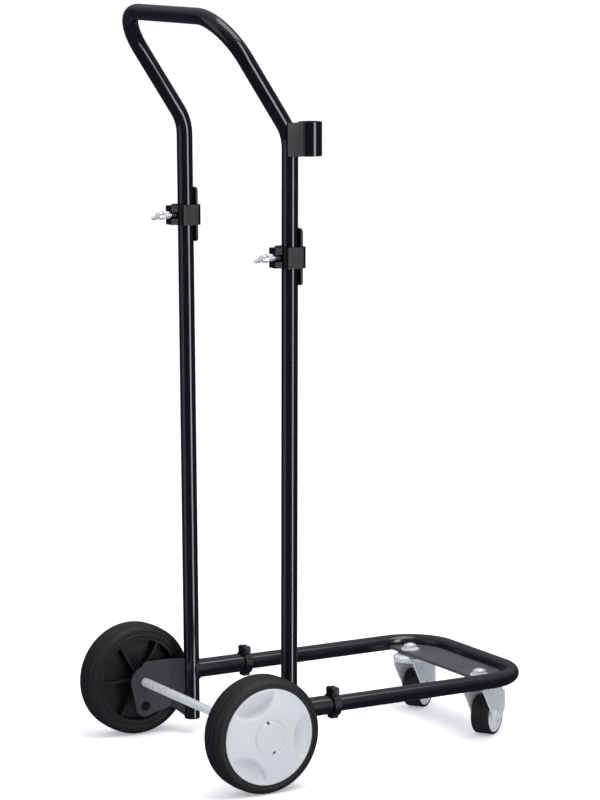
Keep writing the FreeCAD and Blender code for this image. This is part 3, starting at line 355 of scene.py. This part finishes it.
def rubber(name, centre, ringPitch):
    # moulded rubber with fine rings turned into the mould, seen on the sidewalls
    look = {
        "colour": (0.0085, 0.0075, 0.0080), "second": (0.0135, 0.0118, 0.0125), "worn": (0.035, 0.032, 0.031),
        "roughness": (0.46, 0.62), "specular": 0.29,
        "grain": 1400, "mottle": 20, "relief": 0.00010,
        "edge": 0.0008, "wear": 0.4, "dust": 0.10, "dustReach": 0.06,
        "rings": 0.22,
    }
    material = newFinish(name, look)
    tree = material.node_tree
    relief = tree.nodes["Bump"].inputs["Height"]
    place = tree.nodes.new("ShaderNodeTexCoord").outputs["Object"]
    centred = tree.nodes.new("ShaderNodeMapping")
    centred.inputs["Location"].default_value = -centre
    tree.links.new(place, centred.inputs["Vector"])
    split = tree.nodes.new("ShaderNodeSeparateXYZ")
    tree.links.new(centred.outputs[0], split.inputs[0])
    flat = tree.nodes.new("ShaderNodeCombineXYZ")
    tree.links.new(split.outputs["Y"], flat.inputs["Y"])
    tree.links.new(split.outputs["Z"], flat.inputs["Z"])
    away = tree.nodes.new("ShaderNodeVectorMath")
    away.operation = "LENGTH"
    tree.links.new(flat.outputs[0], away.inputs[0])
    rings = mathNode(tree, "SINE", mathNode(tree, "MULTIPLY", away.outputs["Value"], 2 * math.pi / ringPitch))
    height = mathNode(tree, "ADD", mathNode(tree, "MULTIPLY", rings, look["rings"]), relief.links[0].from_socket)
    tree.links.new(height, relief)
    return material


finishes = {
    "black_gloss": glossPaint(),
    "black_satin": satinPaint(),
    "grey_satin": platePaint(),
    "zinc": zincPlate(),
    "chrome": chromePlate(),
    "black_plastic": blackPlastic(),
    "hub_plastic": hubPlastic(),
    "cap_plastic": capPlastic(),
    "castor_plastic": castorPlastic(),
    "nylon": naturalNylon(),
    "tyre": rubber("tyreRubber", axleCentre, 0.0016),
    "castor_rubber": rubber("castorRubber", Vector(joints["castor_roll_right"]["pos_m"]), 0.0011),
}
print("finishes made")

slotOfNode = {entry["node"]: entry["material_slot"] for entry in frame["record"]["subparts"]}
for name, node in nodes.items():
    for slot in node.material_slots:
        slot.material = finishes[slotOfNode[name]]
print("frame nodes finished")


# making pieces

def pieceFrom(name, bm, body, slotName, replaced=(), sharp=38):
    mesh = bpy.data.meshes.new(name)
    bm.to_mesh(mesh)
    bm.free()
    piece = bpy.data.objects.new(name, mesh)
    bpy.context.scene.collection.objects.link(piece)
    mesh.materials.append(finishes[slotName])
    mesh.shade_smooth()
    mesh.set_sharp_from_angle(angle=math.radians(sharp))
    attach(piece, body)
    if replaced:
        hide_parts(*replaced)
    return piece


def spun(profile, segments, closed=False):
    # turns an outline of (along, radius) points about X; a closed outline makes a ring
    bm = bmesh.new()
    corners = [bm.verts.new((along, 0, radius)) for along, radius in profile]
    pairs = list(zip(corners, corners[1:]))
    if closed:
        pairs.append((corners[-1], corners[0]))
    edges = [bm.edges.new(pair) for pair in pairs]
    bmesh.ops.spin(bm, geom=corners + edges, cent=(0, 0, 0), axis=alongX, dvec=(0, 0, 0),
                   angle=2 * math.pi, steps=segments, use_merge=True)
    bmesh.ops.remove_doubles(bm, verts=bm.verts, dist=1e-6)
    bmesh.ops.recalc_face_normals(bm, faces=bm.faces)
    return bm


def arc(along, radius, size, first, last, steps):
    # points of a round corner, angles in degrees from the X axis towards the rim
    angles = [math.radians(first + (last - first) * step / steps) for step in range(steps + 1)]
    return [(along + size * math.cos(angle), radius + size * math.sin(angle)) for angle in angles]


def softened(node, width, segments=2, angle=32):
    # a copy of a frame part with its hard edges rounded over
    source = nodes[node]
    bm = bmesh.new()
    bm.from_mesh(source.data)
    bmesh.ops.remove_doubles(bm, verts=bm.verts, dist=1e-6)
    bmesh.ops.dissolve_limit(bm, angle_limit=math.radians(0.6), verts=bm.verts, edges=bm.edges)
    hard = [edge for edge in bm.edges
            if edge.is_manifold and edge.calc_face_angle(0) > math.radians(angle)]
    bmesh.ops.bevel(bm, geom=hard, offset=width, offset_type="OFFSET", affect="EDGES", segments=segments,
                    profile=0.5, material=-1, clamp_overlap=True)
    piece = pieceFrom(f"{node}_rounded", bm, bodyOf(node), slotOfNode[node], (node,), 30)
    weighted = piece.modifiers.new("evenShading", "WEIGHTED_NORMAL")
    weighted.keep_sharp = True


# rear tyres: three grooves in the tread, a bead ring and a step on each sidewall

tyre = {
    "segments": 160, "seat": 70 * mm, "shoulder": 9 * mm,
    "grooveWidth": 2.6 * mm, "grooveDepth": 2.2 * mm, "groovePitch": 9.5 * mm,
    "beadHeight": 1.0 * mm, "beadWidth": 3.2 * mm, "crown": 0.6 * mm, "capGap": 0.3 * mm,
}


def rearTyre(side, sign):
    low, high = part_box(f"rear_tyre_{side}")
    capLow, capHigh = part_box(f"hub_cap_{side}")
    width = high.x - low.x
    rim = (high.z - low.z) / 2
    seat = tyre["seat"]
    capRadius = (capHigh.z - capLow.z) / 2 + tyre["capGap"]
    shoulder = tyre["shoulder"]
    bead, beadTall = tyre["beadWidth"], tyre["beadHeight"]
    half = tyre["grooveWidth"] / 2
    # the inner sidewall, with its bead ring, out to the tread
    profile = [
        (1.2 * mm, seat), (0.9 * mm, seat + 0.6 * mm), (0.9 * mm, seat + 1.2 * mm),
        (0, seat + 2 * mm), (0, seat + bead), (beadTall, seat + bead + 1 * mm),
        (beadTall, rim - shoulder - 1.6 * mm), (0.3 * mm, rim - shoulder - 0.8 * mm),
    ]
    profile += arc(shoulder, rim - shoulder - tyre["crown"], shoulder, 180, 100, 9)
    for step in (-1, 0, 1):
        centre = width / 2 + step * tyre["groovePitch"]
        top = rim - tyre["crown"] * abs(step)
        profile += [
            (centre - half - 0.5 * mm, top), (centre - half, top - 0.5 * mm),
            (centre - half * 0.6, top - tyre["grooveDepth"]), (centre + half * 0.6, top - tyre["grooveDepth"]),
            (centre + half, top - 0.5 * mm), (centre + half + 0.5 * mm, top),
        ]
    # the outer shoulder and sidewall, down to the hub cap's edge
    profile += arc(width - shoulder, rim - shoulder - tyre["crown"], shoulder, 80, 0, 9)
    profile += [
        (width - 0.3 * mm, rim - shoulder - 0.8 * mm), (width - beadTall, rim - shoulder - 1.6 * mm),
        (width - beadTall, capRadius + 1.6 * mm), (width - 0.2 * mm, capRadius + 0.9 * mm),
        (width - 0.2 * mm, capRadius + 0.3 * mm), (width - 0.8 * mm, capRadius),
        (width - 1.6 * mm, capRadius), (width - 1.6 * mm, seat),
    ]
    bm = spun(profile, tyre["segments"], closed=True)
    placeWheel(bm, sign, low if sign > 0 else high)
    pieceFrom(f"tyre_{side}", bm, f"rear_wheel_{side}", "tyre", (f"rear_tyre_{side}",), 30)


def placeWheel(bm, sign, inner):
    # a wheel part drawn with its outer face towards +X goes onto the axle
    if sign < 0:
        bmesh.ops.rotate(bm, verts=bm.verts, cent=(0, 0, 0), matrix=Matrix.Rotation(math.pi, 3, "Z"))
    bmesh.ops.translate(bm, verts=bm.verts, vec=(inner.x, axleCentre.y, axleCentre.z))


# hub caps: a shallow dome with three scooped recesses, a middle boss and two key holes

cap = {
    "rings": 60, "segments": 240, "flange": 4.0 * mm, "lip": 3.4 * mm, "dome": 4.5 * mm, "boss": 25 * mm,
    "bossRise": 1.4 * mm, "scoopRadius": 45 * mm, "scoopCentre": 84 * mm, "scoopDeep": 12.0 * mm,
    "scoopShallow": 0.8 * mm, "wallSoft": 6.0 * mm, "firstScoop": -6, "scoops": 3,
    "keyRadius": 24 * mm, "keyHole": 2.7 * mm, "keyDeep": 14 * mm, "keyAngles": (102, 282),
    "wall": 8.6 * mm, "wallDeep": 13.3 * mm, "middle": 22 * mm, "middleDeep": 4.5 * mm,
}


def smoothStep(value):
    value = min(max(value, 0.0), 1.0)
    return value * value * (3 - 2 * value)


def capHeight(radius, rimRadius):
    # the dome above the rim's face, without its recesses
    lipRadius = rimRadius - cap["lip"]
    fall = min(radius / lipRadius, 1.0)
    height = cap["dome"] * (1 - fall ** 2.6)
    height += cap["bossRise"] * (1 - smoothStep((radius - cap["boss"] + 1.2 * mm) / (2.4 * mm)))
    return height - cap["bossRise"] * 0.5 * math.exp(-((radius - cap["boss"] - 1.6 * mm) / (1.1 * mm)) ** 2)


def scoopDepth(y, z, radius, rimRadius):
    lipRadius = rimRadius - cap["lip"]
    inner = cap["scoopCentre"] - cap["scoopRadius"]
    depth = 0.0
    for index in range(cap["scoops"]):
        angle = math.radians(cap["firstScoop"] + 360 * index / cap["scoops"])
        reach = math.hypot(y - cap["scoopCentre"] * math.cos(angle), z - cap["scoopCentre"] * math.sin(angle))
        wall = smoothStep((cap["scoopRadius"] - reach) / cap["wallSoft"])
        rim = smoothStep((lipRadius - radius) / (2.2 * mm))
        slope = min(max((lipRadius - radius) / (lipRadius - inner), 0.0), 1.0)
        deep = cap["scoopShallow"] + (cap["scoopDeep"] - cap["scoopShallow"]) * slope
        depth = max(depth, wall * rim * (deep + capHeight(radius, rimRadius) * 0.55))
    return depth


def hubCap(side, sign):
    low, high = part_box(f"hub_cap_{side}")
    tyreLow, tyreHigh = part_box(f"rear_tyre_{side}")
    rimRadius = (high.z - low.z) / 2
    inner = tyreLow if sign > 0 else tyreHigh
    crest = high.x - inner.x if sign > 0 else inner.x - low.x
    rimFace = crest - cap["dome"] - cap["bossRise"]
    lipRadius = rimRadius - cap["lip"]
    front = [(rimFace + capHeight(lipRadius * step / cap["rings"], rimRadius), lipRadius * step / cap["rings"])
             for step in range(cap["rings"] + 1)]
    edge = [(rimFace, rimRadius - 1.6 * mm)] + arc(rimFace - 1.5 * mm, rimRadius - 1.5 * mm, 1.5 * mm, 80, 0, 5)
    wallRadius = rimRadius - cap["wall"]
    wallEnd, middleEnd = rimFace - cap["wallDeep"], crest - cap["middleDeep"]
    back = [(rimFace - cap["flange"], rimRadius), (rimFace - cap["flange"], wallRadius), (wallEnd, wallRadius),
            (wallEnd, cap["middle"]), (middleEnd, cap["middle"]), (middleEnd, 0)]
    bm = spun(front + edge + back, cap["segments"])
    for vert in bm.verts:
        radius = math.hypot(vert.co.y, vert.co.z)
        onFront = vert.co.x > rimFace - 0.5 * mm and radius < lipRadius + 0.1 * mm
        if onFront:
            # the recesses sit alike on both wheels when seen from outside
            vert.co.x -= scoopDepth(vert.co.y * sign, vert.co.z, radius, rimRadius)
    placeWheel(bm, sign, inner)
    piece = pieceFrom(f"cap_{side}", bm, f"rear_wheel_{side}", "cap_plastic", (f"hub_cap_{side}",), 50)
    for angle in cap["keyAngles"]:
        cutKeyHole(piece, math.radians(angle), inner.x + sign * crest)


def cutKeyHole(piece, angle, face):
    bm = bmesh.new()
    bmesh.ops.create_cone(bm, cap_ends=True, segments=28, radius1=cap["keyHole"], radius2=cap["keyHole"],
                          depth=cap["keyDeep"])
    bmesh.ops.rotate(bm, verts=bm.verts, cent=(0, 0, 0), matrix=Matrix.Rotation(math.pi / 2, 3, "Y"))
    bmesh.ops.translate(bm, verts=bm.verts, vec=(
        face, axleCentre.y + cap["keyRadius"] * math.cos(angle), axleCentre.z + cap["keyRadius"] * math.sin(angle)))
    mesh = bpy.data.meshes.new("keyCutter")
    bm.to_mesh(mesh)
    bm.free()
    cutter = bpy.data.objects.new("keyCutter", mesh)
    bpy.context.scene.collection.objects.link(cutter)
    drill = piece.modifiers.new("keyHole", "BOOLEAN")
    drill.operation = "DIFFERENCE"
    drill.solver = "EXACT"
    drill.object = cutter
    applyModifiers(piece)
    bpy.data.objects.remove(cutter)


def applyModifiers(piece):
    graph = bpy.context.evaluated_depsgraph_get()
    finished = bpy.data.meshes.new_from_object(piece.evaluated_get(graph))
    piece.modifiers.clear()
    old = piece.data
    piece.data = finished
    bpy.data.meshes.remove(old)


for side, sign in sides:
    rearTyre(side, sign)
    hubCap(side, sign)
print("wheels made")


# castor wheels: a stepped off-white disc with a rubber tread

castor = {
    "segments": 96, "width": 31 * mm, "round": 3.2 * mm, "seat": 28 * mm, "hubWidth": 32.6 * mm, "bore": 4.1 * mm,
    # (along, radius) in mm, from the hub's rim out to the tread's seat
    "disc": ((12, 9.6), (11, 10.6), (10.6, 16.5), (11.4, 17.2), (11.4, 18.4), (10.6, 19.1), (10.8, 23.6),
             (12.2, 24.8), (14.2, 25.4), (14.6, 26), (14.6, 27.6)),
}


def castorPlace(bm, side):
    axis = Vector(joints[f"castor_roll_{side}"]["axis"])
    centre = Vector(joints[f"castor_roll_{side}"]["pos_m"])
    turn = alongX.rotation_difference(axis).to_matrix().to_4x4()
    bmesh.ops.transform(bm, matrix=Matrix.Translation(centre) @ turn, verts=bm.verts)


def castorWheel(side):
    low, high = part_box(f"castor_tyre_{side}")
    radius = (high.z - low.z) / 2
    half = castor["width"] / 2
    seat, corner = castor["seat"], castor["round"]
    tread = [(-half + 0.5 * mm, seat), (-half, seat + 0.6 * mm)]
    tread += arc(corner - half, radius - corner, corner, 180, 98, 6)
    tread += [(-1.0 * mm, radius), (-0.5 * mm, radius - 0.3 * mm),
              (0.5 * mm, radius - 0.3 * mm), (1.0 * mm, radius)]
    tread += arc(half - corner, radius - corner, corner, 82, 0, 6)
    tread += [(half, seat + 0.6 * mm), (half - 0.5 * mm, seat)]
    bm = spun(tread, castor["segments"], closed=True)
    castorPlace(bm, side)
    pieceFrom(f"castorTread_{side}", bm, f"castor_roller_{side}", "castor_rubber", (f"castor_tyre_{side}",), 30)

    hub, bore = castor["hubWidth"] / 2, castor["bore"]
    face = [(hub, bore), (hub, 8.4 * mm), (hub - 0.6 * mm, 9 * mm)]
    face += [(along * mm, size * mm) for along, size in castor["disc"]] + [(14.2 * mm, seat)]
    profile = face + [(-along, size) for along, size in reversed(face)]
    bm = spun(profile, castor["segments"], closed=True)
    castorPlace(bm, side)
    pieceFrom(f"castorDisc_{side}", bm, f"castor_roller_{side}", "castor_plastic", (f"castor_wheel_{side}",), 34)


for side, sign in sides:
    castorWheel(side)
print("castors made")


# threads: rings turned into a rod

def threadedRod(name, start, direction, length, radius, pitch, body, slotName="zinc"):
    profile = [(0, 0), (0, radius - 0.8 * mm)]
    count = int(length / pitch) - 1
    for index in range(count):
        along = 0.4 * mm + index * pitch
        profile += [(along, radius - pitch * 0.45), (along + pitch * 0.38, radius), (along + pitch * 0.62, radius)]
    profile += [(length - 0.9 * mm, radius - pitch * 0.45), (length, radius - 1.2 * mm), (length, 0)]
    bm = spun(profile, 40)
    turn = alongX.rotation_difference(Vector(direction)).to_matrix().to_4x4()
    bmesh.ops.transform(bm, matrix=Matrix.Translation(start) @ turn, verts=bm.verts)
    pieceFrom(name, bm, body, slotName, (), 25)


# wing screws: a cast hub and two rounded wings grown together, on a threaded shank

wing = {
    "hubRadius": 7.0 * mm, "hubLength": 12 * mm, "spread": 9.0 * mm, "radius": 5.8 * mm, "thick": 4.4 * mm,
    "turn": 25, "voxel": 0.45 * mm, "shank": 4 * mm, "pitch": 1.25 * mm, "tip": 15.5 * mm,
    "neck": (10 * mm, 12 * mm), "neckLean": 22,
}


def wingScrew(side):
    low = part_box(f"wing_screw_{side}")[0]
    joint = joints[f"screw_turn_{side}"]
    centre = Vector(joint["pos_m"])
    # along the screw's axis, from the upright's middle towards -Y
    hubBack = centre.y - low.y - wing["radius"] - 0.4 * mm
    hubFront = hubBack - wing["hubLength"]
    bm = spun([(hubFront, 0), (hubFront, wing["hubRadius"] - 0.6 * mm), (hubFront + 0.8 * mm, wing["hubRadius"]),
               (hubBack - 2 * mm, wing["hubRadius"] - 1.2 * mm), (hubBack - 0.4 * mm, wing["hubRadius"] - 2.6 * mm),
               (hubBack, 0)], 48)
    for way in (-1, 1):
        # each wing is a rounded lobe on a flat neck that leans outwards
        lobe = bmesh.ops.create_cone(bm, cap_ends=True, segments=40, radius1=wing["radius"], radius2=wing["radius"],
                                     depth=wing["thick"])["verts"]
        bmesh.ops.translate(bm, verts=lobe, vec=(hubBack - 0.6 * mm, way * wing["spread"], 0))
        neck = bmesh.ops.create_cube(bm, size=1.0)["verts"]
        bmesh.ops.scale(bm, verts=neck, vec=(*wing["neck"], wing["thick"]))
        bmesh.ops.rotate(bm, verts=neck, cent=(0, 0, 0),
                         matrix=Matrix.Rotation(math.radians(way * wing["neckLean"]), 3, "Z"))
        bmesh.ops.translate(bm, verts=neck, vec=(hubBack - 4.5 * mm, way * wing["spread"] * 0.45, 0))
    piece = pieceFrom(f"wingHead_{side}", bm, f"screw_{side}", "chrome", (f"wing_screw_{side}",), 60)
    grow = piece.modifiers.new("grow", "REMESH")
    grow.mode = "VOXEL"
    grow.voxel_size = wing["voxel"]
    ease = piece.modifiers.new("ease", "SMOOTH")
    ease.factor = 0.5
    ease.iterations = 5
    applyModifiers(piece)
    turn = Matrix.Rotation(math.radians(wing["turn"]), 4, "X")
    aim = alongX.rotation_difference(Vector(joint["axis"])).to_matrix().to_4x4()
    piece.data.transform(Matrix.Translation(centre) @ aim @ turn)
    piece.data.shade_smooth()
    tip = centre - alongY * wing["tip"]
    threadedRod(f"wingThread_{side}", tip, joint["axis"], hubFront - wing["tip"] + 0.5 * mm, wing["shank"],
                wing["pitch"], f"screw_{side}", "chrome")


for side, sign in sides:
    wingScrew(side)
    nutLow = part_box(f"stem_nut_{side}")[0]
    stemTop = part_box(f"castor_stem_{side}")[1].z
    stemMiddle = middleOf(f"castor_stem_{side}")
    threadedRod(f"stemThread_{side}", Vector((stemMiddle.x, stemMiddle.y, nutLow.z + 1 * mm)), alongZ,
                stemTop - nutLow.z - 0.6 * mm, 6.25 * mm, 1.5 * mm, "platform")
print("screws made")


# parts whose hard edges are rounded over

edges = {
    "castor_fork": 0.55 * mm, "upright_clamp": 0.9 * mm, "backing_strip": 0.8 * mm, "sleeve_clamp": 0.7 * mm,
    "axle_bracket": 0.5 * mm, "stem_nut": 0.5 * mm, "castor_bolt": 0.35 * mm, "sleeve": 0.35 * mm,
}
for stem, width in edges.items():
    for side, sign in sides:
        softened(f"{stem}_{side}", width)
softened("platform_plate", 0.5 * mm)
softened("tube_holder", 0.45 * mm)
print("edges rounded")


# weld beads, painted over with the frame

weld = {"radius": 1.7 * mm, "ripple": 0.16, "pitch": 2.2 * mm}


def weldBead(name, points, body):
    curve = bpy.data.curves.new(name, "CURVE")
    curve.dimensions = "3D"
    curve.bevel_depth = weld["radius"]
    curve.bevel_resolution = 3
    curve.use_fill_caps = True
    spline = curve.splines.new("POLY")
    spline.points.add(len(points) - 1)
    travelled = 0.0
    for index, point in enumerate(points):
        if index:
            travelled += (Vector(point) - Vector(points[index - 1])).length
        wobble = noise.noise(Vector(point) * 400)
        ripple = 1 + weld["ripple"] * math.sin(2 * math.pi * travelled / weld["pitch"]) + 0.12 * wobble
        ends = min(index, len(points) - 1 - index) / 4
        spline.points[index].co = (*point, 1)
        spline.points[index].radius = ripple * (0.55 + 0.45 * min(ends, 1))
    bead = bpy.data.objects.new(name, curve)
    bpy.context.scene.collection.objects.link(bead)
    bpy.context.view_layer.update()
    graph = bpy.context.evaluated_depsgraph_get()
    mesh = bpy.data.meshes.new_from_object(bead.evaluated_get(graph))
    bpy.data.objects.remove(bead)
    bm = bmesh.new()
    bm.from_mesh(mesh)
    bmesh.ops.remove_doubles(bm, verts=bm.verts, dist=1e-7)
    bmesh.ops.recalc_face_normals(bm, faces=bm.faces)
    pieceFrom(name, bm, body, "black_gloss", (), 60)


def sleeveWeld(side):
    # round the end of the sleeve, where it meets the upright's curved front
    centreX = middleOf(f"sleeve_{side}").x
    radius = (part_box(f"sleeve_{side}")[1].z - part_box(f"sleeve_{side}")[0].z) / 2
    points = []
    for index in range(241):
        angle = math.radians(90 + 360 * index / 240)
        x, z = radius * math.cos(angle), radius * math.sin(angle)
        depth = math.sqrt(max(tubeRadius ** 2 - min(abs(x), tubeRadius) ** 2, (2.0 * mm) ** 2))
        points.append((centreX + x, uprightY + depth + 0.4 * mm, railHeight + z))
    weldBead(f"sleeveWeld_{side}", points, "frame")


for side, sign in sides:
    sleeveWeld(side)
print("welds made")


# stage, light and camera

view = {"azimuth": 60.08, "elevation": 8.87, "roll": -0.18, "lens": 151.06, "distance": 5.03594,
        "sideways": 0.19493, "height": 0.59106}


studio = {
    "softSky": ((0.42, 0.42, 0.46), (1.0, 1.0, 1.0)), "softStrength": 0.9,
    "glossSky": ((0.055, 0.058, 0.10), (0.75, 0.76, 0.82)), "backdrop": 1.05,
    "topPlace": (0.9, 0.5, 3.3), "topSize": (2.2, 2.2), "topPower": 62,
    "stripReach": 3.1, "stripAngle": 14, "stripHeight": 0.75, "stripSize": (0.95, 4.4), "stripPower": 110,
    "leftPlace": (-0.6, -3.8, 0.9), "leftSize": (2.6, 3.4), "leftPower": 26, "leftColour": (0.80, 0.86, 1.0),
    "floorColour": (0.93, 0.93, 0.95), "floorGlow": (0.97, 0.97, 1.0), "floorGlowPower": 0.34, "aimHeight": 0.5,
}


def placeCamera():
    azimuth, elevation, roll = (math.radians(view[key]) for key in ("azimuth", "elevation", "roll"))
    back = Vector((math.sin(azimuth) * math.cos(elevation), -math.cos(azimuth) * math.cos(elevation),
                   math.sin(elevation)))
    right = Vector((math.cos(azimuth), math.sin(azimuth), 0))
    up = back.cross(right)
    rolledRight = right * math.cos(roll) + up * math.sin(roll)
    rolledUp = up * math.cos(roll) - right * math.sin(roll)
    turn = Matrix((rolledRight, rolledUp, back)).transposed().to_4x4()
    target = Vector((view["sideways"], uprightY, view["height"]))
    data = bpy.data.cameras.new("camera")
    data.lens = view["lens"]
    data.sensor_width = 36
    data.clip_end = 400
    camera = bpy.data.objects.new("camera", data)
    camera.matrix_world = Matrix.Translation(target + back * view["distance"]) @ turn
    bpy.context.scene.collection.objects.link(camera)
    bpy.context.scene.camera = camera


def areaLight(name, place, aim, size, power, colour=(1, 1, 1), litAll=True):
    data = bpy.data.lights.new(name, "AREA")
    data.shape = "RECTANGLE"
    data.size, data.size_y = size
    data.energy = power
    data.color = colour
    light = bpy.data.objects.new(name, data)
    light.location = place
    light.rotation_euler = (Vector(aim) - Vector(place)).to_track_quat("-Z", "Y").to_euler()
    light.visible_diffuse = litAll
    bpy.context.scene.collection.objects.link(light)


def layFloor():
    bm = bmesh.new()
    bmesh.ops.create_grid(bm, x_segments=1, y_segments=1, size=120)
    mesh = bpy.data.meshes.new("floor")
    bm.to_mesh(mesh)
    bm.free()
    floor = bpy.data.objects.new("floor", mesh)
    bpy.context.scene.collection.objects.link(floor)
    paper = bpy.data.materials.new("paleFloor")
    paper.use_nodes = True
    shader = paper.node_tree.nodes["Principled BSDF"]
    shader.inputs["Base Color"].default_value = (*studio["floorColour"], 1)
    shader.inputs["Roughness"].default_value = 0.8
    shader.inputs["Specular IOR Level"].default_value = 0.1
    shader.inputs["Emission Color"].default_value = (*studio["floorGlow"], 1)
    shader.inputs["Emission Strength"].default_value = studio["floorGlowPower"]
    mesh.materials.append(paper)
    floor.visible_glossy = False


def skyRamp(tree, height, low, high, colours):
    ramp = tree.nodes.new("ShaderNodeValToRGB")
    ramp.color_ramp.elements[0].color = (*colours[0], 1)
    ramp.color_ramp.elements[1].color = (*colours[1], 1)
    tree.links.new(rangeNode(tree, height, low, high), ramp.inputs[0])
    back = tree.nodes.new("ShaderNodeBackground")
    tree.links.new(ramp.outputs[0], back.inputs["Color"])
    return back


def lightWorld():
    # white behind the cart, an even soft surround for light, and a darker one that gloss reflects
    world = bpy.data.worlds.new("studio")
    bpy.context.scene.world = world
    world.use_nodes = True
    tree = world.node_tree
    tree.nodes.clear()
    paths = tree.nodes.new("ShaderNodeLightPath")
    place = tree.nodes.new("ShaderNodeTexCoord")
    split = tree.nodes.new("ShaderNodeSeparateXYZ")
    tree.links.new(place.outputs["Generated"], split.inputs[0])
    height = split.outputs["Z"]
    soft = skyRamp(tree, height, 0.0, 0.9, studio["softSky"])
    soft.inputs["Strength"].default_value = studio["softStrength"]
    gloss = skyRamp(tree, height, 0.1, 1.0, studio["glossSky"])
    white = tree.nodes.new("ShaderNodeBackground")
    white.inputs["Color"].default_value = (1, 1, 1, 1)
    white.inputs["Strength"].default_value = studio["backdrop"]
    reflected = tree.nodes.new("ShaderNodeMixShader")
    tree.links.new(paths.outputs["Is Glossy Ray"], reflected.inputs[0])
    tree.links.new(soft.outputs[0], reflected.inputs[1])
    tree.links.new(gloss.outputs[0], reflected.inputs[2])
    seen = tree.nodes.new("ShaderNodeMixShader")
    tree.links.new(paths.outputs["Is Camera Ray"], seen.inputs[0])
    tree.links.new(reflected.outputs[0], seen.inputs[1])
    tree.links.new(white.outputs[0], seen.inputs[2])
    output = tree.nodes.new("ShaderNodeOutputWorld")
    tree.links.new(seen.outputs[0], output.inputs["Surface"])


def lightCart():
    middle = (0, uprightY, studio["aimHeight"])
    angle, reach = math.radians(studio["stripAngle"]), studio["stripReach"]
    areaLight("top", studio["topPlace"], middle, studio["topSize"], studio["topPower"])
    areaLight("strip", (reach * math.cos(angle), reach * math.sin(angle), studio["stripHeight"]), middle,
              studio["stripSize"], studio["stripPower"], litAll=False)  # seen in gloss only
    areaLight("left", studio["leftPlace"], middle, studio["leftSize"], studio["leftPower"], studio["leftColour"])


placeCamera()
layFloor()
lightWorld()
lightCart()
bpy.context.scene.view_settings.view_transform = "Standard"
print("stage set")
